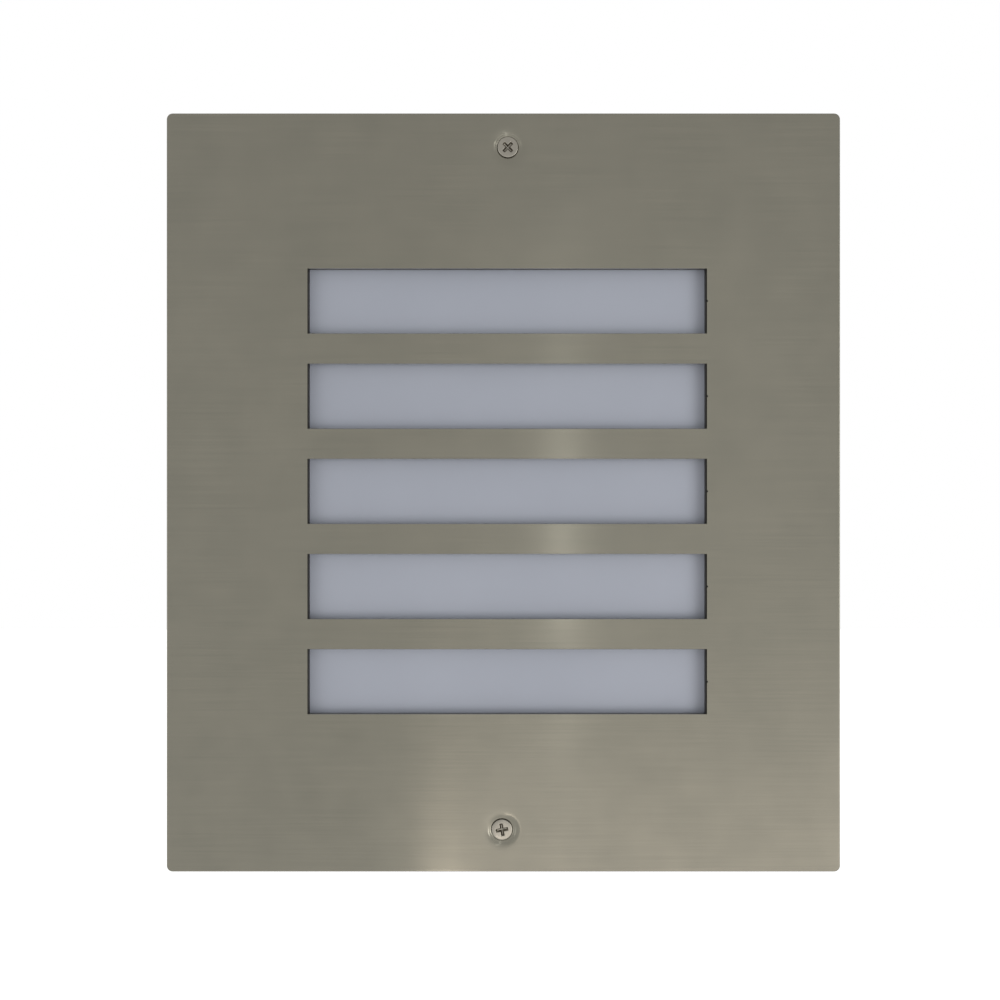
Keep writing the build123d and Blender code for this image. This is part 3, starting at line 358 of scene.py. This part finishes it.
def ring_stack(rings, place, segments=64, tube=False):
    """Points and faces of a stack of (radius or rule, height) rings about the place's own Z."""
    points, starts, counts = [], [], []
    for radius, height in rings:
        starts.append(len(points))
        if radius == 0:
            points.append(place @ Vector((0, 0, height)))
            counts.append(1)
            continue
        for i in range(segments):
            angle = 2 * pi * i / segments
            reach = radius(angle) if callable(radius) else radius
            points.append(place @ Vector((reach * cos(angle), reach * sin(angle), height)))
        counts.append(segments)
    pairs = list(zip(range(len(rings) - 1), range(1, len(rings))))
    if tube:
        pairs.append((len(rings) - 1, 0))
    faces = []
    for a, b in pairs:
        for i in range(segments):
            j = (i + 1) % segments
            if counts[a] == 1:
                faces.append((starts[a], starts[b] + j, starts[b] + i))
            elif counts[b] == 1:
                faces.append((starts[a] + i, starts[a] + j, starts[b]))
            else:
                faces.append((starts[a] + i, starts[a] + j, starts[b] + j, starts[b] + i))
    return points, faces


def together(parts):
    """Joins several (points, faces) into one."""
    points, faces = [], []
    for some_points, some_faces in parts:
        faces += [tuple(i + len(points) for i in face) for face in some_faces]
        points += some_points
    return points, faces


def along_y(x, z):
    """Place whose own Z runs into the wall, at this x and z."""
    return Matrix.Translation((x, 0, z)) @ Matrix.Rotation(-pi / 2, 4, "X")


print("a ring of 64 points is", round(2 * pi * 3.5 / 64, 2), "mm per side on a 7 mm screw head")

# %% [markdown]
# ## Threads
#
# A cut thread has a V profile with flattened crests; a rolled lamp thread is a plain wave. Both
# are a wave of the angle and the height. At its ends the thread fades out, as a real one does
# where the die starts and stops.


# %% Thread rule
def thread_rings(crest, root, pitch, start, stop, shape="vee", fade=0.5):
    """Rings of a right-hand thread between two heights, fading in and out over some turns."""
    rings_per_turn = 8 if shape == "vee" else 12
    count = ceil((stop - start) / pitch * rings_per_turn)
    rings = []
    for i in range(count + 1):
        height = start + (stop - start) * i / count
        share = min(1, (height - start) / (fade * pitch), (stop - height) / (fade * pitch))

        def reach(angle, height=height, share=share):
            phase = height / pitch - angle / (2 * pi)
            phase -= floor(phase)
            if shape == "vee":
                # a V of height 1.25 from 0.1 below the root, cut off flat at root and crest
                wave = min(1, max(0, 1.25 * (1 - abs(2 * phase - 1)) - 0.1))
            else:
                wave = 0.5 - 0.5 * cos(2 * pi * phase)
            return root + (crest - root) * wave * max(0, share)

        rings.append((reach, height))
    return rings


print("an M3.5 shank 12 mm long has", 12 / 0.6, "turns")

# %% [markdown]
# ## Flat sheets with holes
#
# The plate and the glass are flat with rounded rims. A loop of points runs round each outline,
# repeated at a few depths from front to back. Strips of faces join the loops into the rims, and
# Blender's triangle fill spans the front and the back between them, holes and all.


# %% Loops to sheet
def rounded_rectangle(width, height, corner, centre=(0, 0), inset=0.0, steps=6):
    """Loop of (x, z) points, anticlockwise from the lower right corner."""
    half_x, half_z = width / 2 - inset, height / 2 - inset
    radius = max(corner - inset, 1e-5)
    loop = []
    for quarter, (sx, sz) in enumerate(((1, -1), (1, 1), (-1, 1), (-1, -1))):
        for i in range(steps + 1):
            angle = radians(-90 + 90 * quarter + 90 * i / steps)
            loop.append(
                (
                    centre[0] + sx * (half_x - radius) + radius * cos(angle),
                    centre[1] + sz * (half_z - radius) + radius * sin(angle),
                )
            )
    return loop


def circle(centre, radius, steps=72):
    """Loop of (x, z) points round a centre."""
    turns = [2 * pi * i / steps for i in range(steps)]
    return [(centre[0] + radius * cos(a), centre[1] + radius * sin(a)) for a in turns]


def sheet_mesh(outlines):
    """Points and faces of a sheet. Each outline is a list of (loop, depth) from front to back."""
    working = bmesh.new()
    rims = {"front": [], "back": []}
    for stations in outlines:
        rows = [[working.verts.new((x, depth, z)) for x, z in loop] for loop, depth in stations]
        for row, following in zip(rows, rows[1:]):
            for i in range(len(row)):
                j = (i + 1) % len(row)
                working.faces.new((row[i], row[j], following[j], following[i]))
        for side, row in (("front", rows[0]), ("back", rows[-1])):
            for i in range(len(row)):
                rims[side].append(working.edges.get((row[i], row[(i + 1) % len(row)])))
    for edges in rims.values():
        bmesh.ops.triangle_fill(working, use_beauty=True, use_dissolve=False, edges=edges)
    working.verts.index_update()
    points = [v.co.copy() for v in working.verts]
    faces = [tuple(v.index for v in face.verts) for face in working.faces]
    working.free()
    return points, faces


def rounded_rim(loop_at, front, back, radius, steps=4):
    """Stations whose front rim is rounded. loop_at gives the loop for an inset.

    The first loop lies a little inside the round, still flat: it keeps the round's shading
    from bleeding over the large flat faces."""
    stations = [(loop_at(3 * radius), front)]
    for i in range(steps + 1):
        angle = pi / 2 * i / steps
        stations.append((loop_at(radius * (1 - sin(angle))), front + radius * (1 - cos(angle))))
    return stations + [(loop_at(0.0), back)]


print("a plate corner has", len(rounded_rectangle(1, 1, 0.1)) // 4, "points")

# %% [markdown]
# ## The face plate
#
# Real size 230 by 259 by 1.5 mm. Its outer edge is broken to 0.3 mm, its slots are cut by laser,
# so their edges stay crisp, with a tiny nick at the middle of the right-hand end where the beam
# went in. The screws sit in pressed cups: the sheet dips softly over a few millimetres, then
# turns down into the cup. The dip matters, because its slope catches a ring of light that the
# flat sheet doesn't. So the cup's profile is drawn as a smooth curve and not as a cone.

# %% Plate sizes
plate_low, plate_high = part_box("face_plate")
plate_front = plate_low.y
sheet_back = -4.0 * mm
plate_size = (plate_high.x - plate_low.x, plate_high.z - plate_low.z)
plate_corner = 2 * mm
broken_edge = 0.3 * mm
laser_edge = 0.06 * mm
slots = 5
slot_size = (136.4 * mm, 22.2 * mm)
slot_shift, slot_lift = 1.3 * mm, 0.4 * mm
slot_pitch = 32.5 * mm
nick_radius = 0.35 * mm
cup_places = {"top_screw": (1.5 * mm, 118.0 * mm), "bottom_screw": (-0.5 * mm, -115.2 * mm)}
print("plate in mm", [round(v / mm, 2) for v in plate_size], "front", round(plate_front / mm, 2))


# %% Plate and slot loops, with the beam's nick
def plate_loop(inset):
    return rounded_rectangle(*plate_size, plate_corner, inset=inset)


def slot_loop(centre_z, inset):
    """Slot outline, a hair larger at the very front, with the nick on its right-hand end."""
    half_x, half_z = slot_size[0] / 2 - inset, slot_size[1] / 2 - inset
    left, right = slot_shift - half_x, slot_shift + half_x
    loop = [(left, centre_z - half_z), (right, centre_z - half_z)]
    nick_steps = 8
    for i in range(nick_steps + 1):
        angle = radians(-90 + 180 * i / nick_steps)
        loop.append((right + nick_radius * cos(angle), centre_z + nick_radius * sin(angle)))
    return loop + [(right, centre_z + half_z), (left, centre_z + half_z)]


outlines = [rounded_rim(plate_loop, plate_front, sheet_back, broken_edge)]
for i in range(slots):
    height = slot_lift + (slots // 2 - i) * slot_pitch
    outlines.append(
        [
            (slot_loop(height, -laser_edge), plate_front),
            (slot_loop(height, 0), plate_front + laser_edge),
            (slot_loop(height, 0), sheet_back),
        ]
    )
print(len(outlines) - 1, "slots, each", len(slot_loop(0, 0)), "points round")

# %% Pressed cups
# (radius, depth below the plate's front) from the flat sheet down into the cup and out behind it
cup_profile = [
    (8.6, 0.0), (8.0, 0.0), (7.0, 0.01), (6.3, 0.03), (5.8, 0.07), (5.4, 0.12),
    (5.0, 0.19), (4.7, 0.27), (4.5, 0.35), (4.35, 0.38), (4.2, 0.42), (4.05, 0.46),
    (3.9, 0.51), (3.75, 0.55), (3.64, 0.61), (3.57, 0.72), (3.56, 1.9),
    (3.85, 2.1), (3.85, 2.6), (3.6, 2.78), (3.3, 2.8), (2.0, 2.8), (2.0, 4.0),
    (4.6, 4.0), (5.1, 3.8), (5.4, 3.2), (5.6, 2.3),
    (6.0, 1.8), (6.8, 1.56), (8.0, 1.5), (8.6, 1.5),
]
for place in cup_places.values():
    outlines.append([(circle(place, r * mm), plate_front + d * mm) for r, d in cup_profile])
points, faces = sheet_mesh(outlines)
face_sheet = finish_piece("face_sheet", points, faces, "face", "face_plate", soft_angle=30)
grain_uv = face_sheet.data.uv_layers.new(name="grain")
for corner in face_sheet.data.loops:
    position = face_sheet.data.vertices[corner.vertex_index].co
    grain_uv.data[corner.index].uv = (position.z / plate_size[1], position.x / plate_size[0])
print("face sheet has", len(face_sheet.data.polygons), "faces")

# %% [markdown]
# ## The plate's screws
#
# M3.5 pan heads, 7 mm across, turned to different angles: the upper cross stands at 45 degrees
# and the lower one at about 10. The head's top is made as rings pressed down wherever the cross
# is, with sloping walls, the way a punch leaves it. The cross is a rule of two bars: how far a
# point lies inside the nearer bar gives the depth there. The shank carries a real 0.6 mm thread.


# %% Head and cross recess
head_radius = 3.5 * mm
head_height = 2.1 * mm
head_side = 1.85 * mm
recess_depth = 1.25 * mm
arm_reach = 2.15 * mm
arm_half = 0.62 * mm
wall_run = 0.5 * mm
screw_seat = -3.4 * mm
shank_radius, thread_root, thread_pitch = 1.75 * mm, 1.4 * mm, 0.6 * mm
shank_length = 12 * mm
seat_edge = 0.15 * mm


def recess_at(x, y):
    """Depth of the cross recess below the head's top, with sloping walls and shallower arms."""
    x, y = abs(x), abs(y)
    inside = max(min(arm_reach - x, arm_half - y), min(arm_reach - y, arm_half - x))
    share = min(1, max(0, inside / wall_run))
    return recess_depth * share * (1 - 0.4 * min(1, sqrt(x * x + y * y) / arm_reach))


def pan_at(radius):
    """Drop of the pan head's top: nearly flat, then quickly over its shoulder."""
    return (head_height - head_side) * (1 - (1 - min(1, radius / head_radius) ** 4) ** 0.25)


print("the cross is", 2 * arm_reach / mm, "mm across, its arms", 2 * arm_half / mm, "mm wide")


# %% Screws, head first and then the shank
def plate_screw(name, turn):
    """Screw with its own Z into the wall."""
    x, z = cup_places[name]
    place = along_y(x, z) @ Matrix.Rotation(radians(-turn), 4, "Z")
    segments, rows = 160, 44
    top = screw_seat - head_height
    points = [place @ Vector((0, 0, top + recess_at(0, 0)))]
    for row in range(1, rows + 1):
        radius = head_radius * sin(pi / 2 * row / rows)
        for i in range(segments):
            angle = 2 * pi * i / segments
            px, py = radius * cos(angle), radius * sin(angle)
            points.append(place @ Vector((px, py, top + pan_at(radius) + recess_at(px, py))))
    faces = [(0, 1 + (i + 1) % segments, 1 + i) for i in range(segments)]
    for row in range(rows - 1):
        for i in range(segments):
            a, b = 1 + row * segments + i, 1 + row * segments + (i + 1) % segments
            faces.append((a, b, b + segments, a + segments))
    shank = [(head_radius, screw_seat - seat_edge), (head_radius - seat_edge, screw_seat)]
    shank += [(shank_radius, screw_seat), (shank_radius, screw_seat + 0.6 * mm)]
    thread = screw_seat + 0.9 * mm, screw_seat + shank_length - 0.6 * mm
    shank += thread_rings(shank_radius, thread_root, thread_pitch, *thread)
    shank += [(1.2 * mm, screw_seat + shank_length), (0, screw_seat + shank_length)]
    more_points, more_faces = ring_stack(shank, place, segments)
    rim = 1 + (rows - 1) * segments
    for i in range(segments):
        j = (i + 1) % segments
        faces.append((rim + i, rim + j, len(points) + j, len(points) + i))
    points, faces = together([(points, faces), (more_points, more_faces)])
    return finish_piece(name + "_turned", points, faces, name, name, 40)


for name, turn in (("top_screw", 45.0), ("bottom_screw", 9.5)):
    screw = plate_screw(name, turn)
    print(name, len(screw.data.polygons), "faces")

# %% [markdown]
# ## The glass pane
#
# The pane's rim is ground to a small round, so it is a sheet with both rims rounded.

# %% Glass pane
pane_low, pane_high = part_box("diffuser_glass")
pane_size = (pane_high.x - pane_low.x, pane_high.z - pane_low.z)
pane_centre = ((pane_high.x + pane_low.x) / 2, (pane_high.z + pane_low.z) / 2)
pane_corner = 3 * mm
ground_rim = 0.5 * mm
rim_steps = 3


def pane_loop(inset):
    return rounded_rectangle(*pane_size, pane_corner, pane_centre, inset)


stations = rounded_rim(pane_loop, pane_low.y, pane_high.y - ground_rim, ground_rim)
for i in range(1, rim_steps + 1):
    angle = pi / 2 * i / rim_steps
    stations.append(
        (pane_loop(ground_rim * (1 - cos(angle))), pane_high.y - ground_rim * (1 - sin(angle)))
    )
points, faces = sheet_mesh([stations])
finish_piece("glass_pane", points, faces, "face", "diffuser_glass")
print("pane in mm", [round(v / mm, 1) for v in pane_size])

# %% [markdown]
# ## Nuts, and anything six-sided
#
# A real nut's corners are turned off at 30 degrees on both faces, which leaves curved edges
# between flats and cone. The rings follow the hexagon's rule, and near the faces each corner is
# held back to the cone.


# %% Hexagon rings
corner_share = 1.145  # of the half width; a sharp hexagon's corners reach 1.155
face_share = 0.97


def hexagon_rings(flats, start, stop, steps=4):
    """Rings of a hexagon whose corners are turned off at its ends."""
    corner = flats / 2 * corner_share
    face = flats / 2 * face_share
    run = (corner - face) * tan(radians(30))

    def rule(angle):
        return min(flats / 2 / cos(angle % (pi / 3) - pi / 6), corner)

    rings = [(face, start)]
    for i in range(1, steps + 1):
        cone = face + (corner - face) * i / steps
        rings.append((lambda a, cone=cone: min(cone, rule(a)), start + run * i / steps))
    for i in range(steps, 0, -1):
        cone = face + (corner - face) * i / steps
        rings.append((lambda a, cone=cone: min(cone, rule(a)), stop - run * i / steps))
    return rings + [(face, stop)]


stud_half_x, stud_half_z = 88 * mm, 55 * mm
stud_places = [
    (slot_shift + sx * stud_half_x, sz * stud_half_z) for sx in (-1, 1) for sz in (-1, 1)
]
nut_low, nut_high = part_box("clip_nuts")
nut_flats, nut_bore = 7 * mm, 1.95 * mm
rings = hexagon_rings(nut_flats, nut_low.y, nut_high.y)
rings = [(nut_bore, nut_low.y), *rings, (nut_bore, nut_high.y)]
parts = [ring_stack(rings, along_y(x, z), 96, tube=True) for x, z in stud_places]
nuts = finish_piece("chamfered_nuts", *together(parts), "face", "clip_nuts", 30)
print("four nuts,", len(nuts.data.polygons), "faces")

# %% Threaded studs
stud_low, stud_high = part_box("weld_studs")
stud_radius, stud_root, stud_pitch = 2.0 * mm, 1.65 * mm, 0.7 * mm
weld_radius = 2.75 * mm
rings = [(0, stud_low.y), (weld_radius, stud_low.y), (2.7 * mm, stud_low.y + 0.5 * mm)]
rings += [(2.2 * mm, stud_low.y + 0.6 * mm), (stud_radius, stud_low.y + 0.9 * mm)]
thread = stud_low.y + 1.2 * mm, stud_high.y - 0.3 * mm
rings += thread_rings(stud_radius, stud_root, stud_pitch, *thread)
rings += [(1.6 * mm, stud_high.y), (0, stud_high.y)]
parts = [ring_stack(rings, along_y(x, z), 48) for x, z in stud_places]
studs = finish_piece("threaded_studs", *together(parts), "face", "weld_studs", 40)
print("four studs,", len(studs.data.polygons), "faces")

# %% [markdown]
# ## The lamp
#
# An A60 lamp with a rolled E27 cap: the thin shell is pressed into a rounded wave, so the thread
# is a plain sine of 3.63 mm pitch. The globe is a ball that is cut off at the neck's seam and
# closed there.

# %% Cap with its rolled thread
lamp_axis = Matrix.Translation((0, 46 * mm, 0))
cap_low, cap_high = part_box("lamp_cap")
cap_radius = (cap_high.x - cap_low.x) / 2
cap_root = cap_radius - 0.8 * mm
cap_pitch = 3.629 * mm
lower_end = [(11.0, 0.4), (11.0, 0.0), (11.6, 0.05), (12.2, 0.6), (12.3, 1.4)]
rings = [(radius * mm, cap_low.z + height * mm) for radius, height in lower_end]
thread = cap_low.z + 1.6 * mm, cap_high.z - 3.5 * mm
rings += thread_rings(cap_radius, cap_root, cap_pitch, *thread, "wave", 0.3)
rings += [(12.3 * mm, cap_high.z - 3.3 * mm), (12.9 * mm, cap_high.z - 2.6 * mm)]
rings += [(cap_radius, cap_high.z - 2.2 * mm), (cap_radius, cap_high.z)]
rings += [(11.6 * mm, cap_high.z), (11.6 * mm, cap_low.z + 1.5 * mm)]
points, faces = ring_stack(rings, lamp_axis, 72, tube=True)
finish_piece("rolled_cap", points, faces, "lamp", "lamp_cap", 50)
print("cap radius", round(cap_radius / mm, 2), "mm, pitch", cap_pitch / mm, "mm")

# %% Globe
globe_low, globe_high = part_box("lamp_globe")
globe_radius = (globe_high.x - globe_low.x) / 2
globe_centre = globe_high.z - globe_radius
seam_z = globe_low.z
globe_steps = 48
rings = []
for i in range(globe_steps):
    height = seam_z + (globe_high.z - seam_z) * (1 - cos(pi * i / globe_steps)) / 2
    rings.append((sqrt(max(0, globe_radius**2 - (height - globe_centre) ** 2)), height))
seam_radius = rings[0][0]
rings = [(0, seam_z), (seam_radius - 1.0 * mm, seam_z), *rings, (0, globe_high.z)]
points, faces = ring_stack(rings, lamp_axis, 96)
finish_piece("opal_globe", points, faces, "lamp", "lamp_globe", 60)
print("globe radius", round(globe_radius / mm, 2), "mm, top at", round(globe_high.z / mm, 2))

# %% [markdown]
# ## The cable gland
#
# A moulded nylon gland: the dome nut has a short six-sided part for a spanner, then a dome with
# fine ribs for the fingers, and ends in a rounded lip. The body has a spanner hexagon too, with
# a coarse 1.5 mm thread on both sides: one for the locknut, one that shows when the dome nut is
# backed off.

# %% Dome nut
gland_place = along_y(-58 * mm, -88 * mm)
gland_flats = 24 * mm
dome_low, dome_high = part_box("gland_dome_nut")
dome_bore = 9.6 * mm
grip_ribs = 24
rib_height = 0.35 * mm


def ribbed(radius, share):
    """Radius with finger ribs that stand up to the rib's height proud."""
    return lambda a: radius + rib_height * share * max(0, sin(grip_ribs * a)) ** 0.7


rings = [(dome_bore, dome_low.y)]
rings += hexagon_rings(gland_flats, dome_low.y, dome_low.y + 9 * mm)
# (radius, height, share of the rib) over the dome and its lip, then the step down in the bore
profile = [(11.5, 9.1, 0.4), (11.45, 9.6, 1), (11.3, 10.8, 1), (11.0, 12.0, 1), (10.5, 13.1, 0.7)]
profile += [(9.8, 14.0, 0.2), (9.1, 14.6, 0), (8.4, 14.9, 0), (7.6, 15.0, 0), (6.9, 14.85, 0)]
profile += [(6.5, 14.4, 0), (6.5, 9.6, 0), (8.0, 9.55, 0)]
rings += [(ribbed(r * mm, share), dome_low.y + y * mm) for r, y, share in profile]
rings.append((dome_bore, dome_low.y + 9.5 * mm))
points, faces = ring_stack(rings, gland_place, 192, tube=True)
finish_piece("gland_dome", points, faces, "gland_dome_nut", "gland_dome_nut", 30)
print("dome nut", round((dome_high.y - dome_low.y) / mm, 1), "mm long,", grip_ribs, "ribs")

# %% Gland body
body_low, body_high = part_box("gland_body")
hex_front, hex_back = 91.5 * mm, 97 * mm
entry_bore, seal_bore, bore_step = 7.5 * mm, 8.2 * mm, 94 * mm
gland_pitch = 1.5 * mm
entry_radius, entry_root = 10 * mm, 9.1 * mm
sleeve_radius, sleeve_root = 9.5 * mm, 8.75 * mm
rings = [(entry_bore, body_low.y), (9.4 * mm, body_low.y), (entry_radius, body_low.y + 0.6 * mm)]
rings += thread_rings(entry_radius, entry_root, gland_pitch, body_low.y + 0.8 * mm, 89.5 * mm)
rings += [(9.9 * mm, 90 * mm), (9.9 * mm, hex_front)]
rings += hexagon_rings(gland_flats, hex_front, hex_back)
rings.append((9.2 * mm, hex_back))
rings += thread_rings(
    sleeve_radius, sleeve_root, gland_pitch, hex_back + 0.4 * mm, body_high.y - 0.5 * mm
)
rings += [(8.9 * mm, body_high.y), (seal_bore, body_high.y)]
rings += [(seal_bore, bore_step), (entry_bore, bore_step)]
points, faces = ring_stack(rings, gland_place, 96, tube=True)
finish_piece("gland_sleeve", points, faces, "housing", "gland_body", 30)
print("gland sleeve from", round(body_low.y / mm, 1), "to", round(body_high.y / mm, 1), "mm")

# %% [markdown]
# ## The inner leads
#
# Three insulated single wires join the terminal block to the lampholder and to the earth screw.
# Each is one smooth spline that follows its route's points and is held at both ends. The table
# gives each wire's length and its route, both in mm.

# %% Leads as splines
lead_radius = 1.3 * mm
routes = {
    "lead_live": (
        75.8,
        [
            *[(57, 76, -89), (57, 76, -77), (49, 67, -71), (33, 65, -75), (30, 54, -90)],
            *[(25, 54, -99), (15, 54, -99)],
        ],
    ),
    "lead_neutral": (
        99.1,
        [
            *[(68.5, 76, -89), (68.5, 76, -73), (56.5, 67, -67), (33, 57, -71), (30, 38, -90)],
            *[(25, 38, -99), (15, 38, -99)],
        ],
    ),
    "lead_earth": (
        112.8,
        [
            *[(-32, 79.6, -79.5), (-32, 79.6, -98.5), (-18, 78.3, -114), (29.5, 78.3, -114)],
            *[(45.5, 76, -113), (45.5, 76, -99)],
        ],
    ),
}
for name, (length, route) in routes.items():
    curve = bpy.data.curves.new(name + "_wire", "CURVE")
    curve.dimensions = "3D"
    spline = curve.splines.new("NURBS")
    spline.points.add(len(route) - 1)
    for point, (x, y, z) in zip(spline.points, route):
        point.co = (x * mm, y * mm, z * mm, 1)
    spline.order_u = 3
    spline.use_endpoint_u = True
    spline.resolution_u = 16
    curve.bevel_depth = lead_radius
    curve.bevel_resolution = 6
    curve.use_fill_caps = True
    wire = bpy.data.objects.new(name + "_wire", curve)
    bpy.context.scene.collection.objects.link(wire)
    curve.materials.append(finishes[slot_of[name]])
    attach(wire, "housing")
    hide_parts(name)
    print(name, length, "mm long")

# %% [markdown]
# ## Floor and background
#
# The photograph's ground is plain white. The light belongs in a wall, so the floor lies 320 mm
# below it. Its own paint is a pale matt one that takes the shadow. What the camera and the
# reflections see is lifted to white with Light Path, and no lamp is made stronger for it.


# %% Which rays see the white
def white_rays(tree):
    """1 for camera, glossy and transmission rays, else 0."""
    rays = add(tree, "ShaderNodeLightPath")
    seen = rays.outputs["Is Camera Ray"]
    for kind in ("Is Glossy Ray", "Is Transmission Ray"):
        either = {0: seen, 1: rays.outputs[kind]}
        seen = add(tree, "ShaderNodeMath", {"operation": "MAXIMUM"}, either).outputs[0]
    return seen


print("white for three kinds of ray")

# %% Floor
floor_drop = 320 * mm
floor_reach = 4.0
floor_glow = 0.8
floor_z = cad_low.z - floor_drop
sides = ((-1, -1), (1, -1), (1, 1), (-1, 1))
corners = [(x * floor_reach, y * floor_reach, floor_z) for x, y in sides]
floor_mesh = bpy.data.meshes.new("floor")
floor_mesh.from_pydata(corners, [], [(0, 1, 2, 3)])
pale_floor = bpy.data.objects.new("floor", floor_mesh)
bpy.context.scene.collection.objects.link(pale_floor)
floor_paint, tree, shader, place = new_material(
    "white_matt_floor_paint", {"Roughness": 0.9, "Emission Color": (1, 1, 1, 1)}
)
shader.inputs["Base Color"].default_value = linear("E6E6E5")
glow = between(tree, white_rays(tree), 0.0, floor_glow)
tree.links.new(glow, shader.inputs["Emission Strength"])
floor_mesh.materials.append(floor_paint)
print("floor at", round(floor_z / mm), "mm")

# %% World
world_level, seen_level = 0.42, 1.0
world = bpy.data.worlds.new("white_studio")
bpy.context.scene.world = world
world.use_nodes = True
tree = world.node_tree
tree.nodes.clear()
strength = between(tree, white_rays(tree), world_level, seen_level)
backdrop = add(tree, "ShaderNodeBackground", {"Color": (1, 1, 1, 1)}, {"Strength": strength})
add(tree, "ShaderNodeOutputWorld", links={"Surface": backdrop.outputs["Background"]})
print("world lights the object at", world_level)

# %% [markdown]
# ## Lamps
#
# A brushed plate shows where its lamps stand. In the photograph one upright streak crosses the
# bars right of the middle, the lower right of the plate is lighter, and a short bright patch
# ends in the lower edge. So seven dim lamps stand where the plate mirrors them to the camera.
# Three make what the eye notices: the narrow streak, the broad low softbox and the small bright
# patch. The other four are fainter panels that even out what lies between. Each is given as the
# patch of the plate, in mm, that mirrors it. Seen in the plate, a lamp at a distance has moved
# outward with it, which one short function works out. No patch may reach below -186 mm, because
# its lamp would stand in the floor.
#
# Two soft panels stand to the left and right. The plate doesn't show them, but they light the
# glass and the inside of the box. The right one is the stronger: it gives each slot the wider
# shade that the photograph shows at its right-hand end.


# %% Lamps that the plate mirrors
def area_lamp(name, position, target, size, level, tint="FFFFFF"):
    """Rectangular lamp that faces a target; level is how bright its own face looks."""
    light = bpy.data.lights.new(name, "AREA")
    light.shape = "RECTANGLE"
    light.size, light.size_y = size
    light.energy = level * pi * size[0] * size[1]
    light.color = linear(tint)[:3]
    lamp = bpy.data.objects.new(name, light)
    lamp.location = position
    lamp.rotation_euler = (Vector(target) - Vector(position)).to_track_quat("-Z", "Y").to_euler()
    bpy.context.scene.collection.objects.link(lamp)
    return lamp


camera_distance = 440 * mm
lamp_distance = 600 * mm


def mirrored(left, right, low, high):
    """Centre and size, at the lamps' distance, of what a patch of the plate mirrors."""
    grow = 1 + lamp_distance / camera_distance
    centre = ((left + right) / 2 * grow, plate_front - lamp_distance, (low + high) / 2 * grow)
    return centre, ((right - left) * grow, (high - low) * grow)


# name, patch from left to right and from low to high in mm, level, tint
mirrored_lamps = (
    ("streak_strip", (17.5, 24.5, -55, 32), 2.3, "FFFFFF"),
    ("low_softbox", (-8, 190, -186, -96), 1.05, "FFF4EE"),
    ("patch_lamp", (-26.5, -12.5, -186, -138), 5.3, "FFF4EC"),
    ("side_softbox", (60, 190, -100, -20), 0.16, "FFFFFF"),
    ("broad_panel", (-10, 110, -110, 90), 0.17, "FFFFFF"),
    ("faint_panel", (-120, 120, -45, 75), 0.09, "FFFFFF"),
    ("low_left_panel", (-46, -8, -186, -128), 0.25, "FFFFFF"),
)
for name, patch, level, tint in mirrored_lamps:
    centre, size = mirrored(*[v * mm for v in patch])
    area_lamp(name, centre, (centre[0], 0, centre[2]), size, level, tint)
    print(name, "is", [round(v, 2) for v in size], "m")
panel_size = (0.7, 0.65)
for name, position, level in (
    ("left_panel", (-1.0, -1.0, -0.1), 1.3),
    ("right_panel", (1.0, -1.0, -0.1), 4.0),
):
    area_lamp(name, position, (0, 0, 0), panel_size, level)
    print(name, "stands at", position, "m")

# %% [markdown]
# ## Camera
#
# The photograph looks straight at the plate. At the plate's face a thousand pixels span
# 341.45 mm. The plate's middle is 3.4 pixels right of the frame's middle and 7.5 above it.

# %% Camera
frame_span = 341.45 * mm
pixel = frame_span / 1000
off_right, off_up = 3.4 * pixel, 7.5 * pixel
camera_data = bpy.data.cameras.new("camera")
camera_data.sensor_width = 36.0
camera_data.lens = camera_data.sensor_width * camera_distance / frame_span
camera_data.clip_start = 0.01
camera = bpy.data.objects.new("camera", camera_data)
camera.location = (-off_right, plate_front - camera_distance, -off_up)
camera.rotation_euler = (pi / 2, 0, 0)
bpy.context.scene.collection.objects.link(camera)
bpy.context.scene.camera = camera
bpy.context.scene.view_settings.view_transform = "Standard"
print("lens", round(camera_data.lens, 1), "mm")

# %% Update the view layer
bpy.context.view_layer.update()
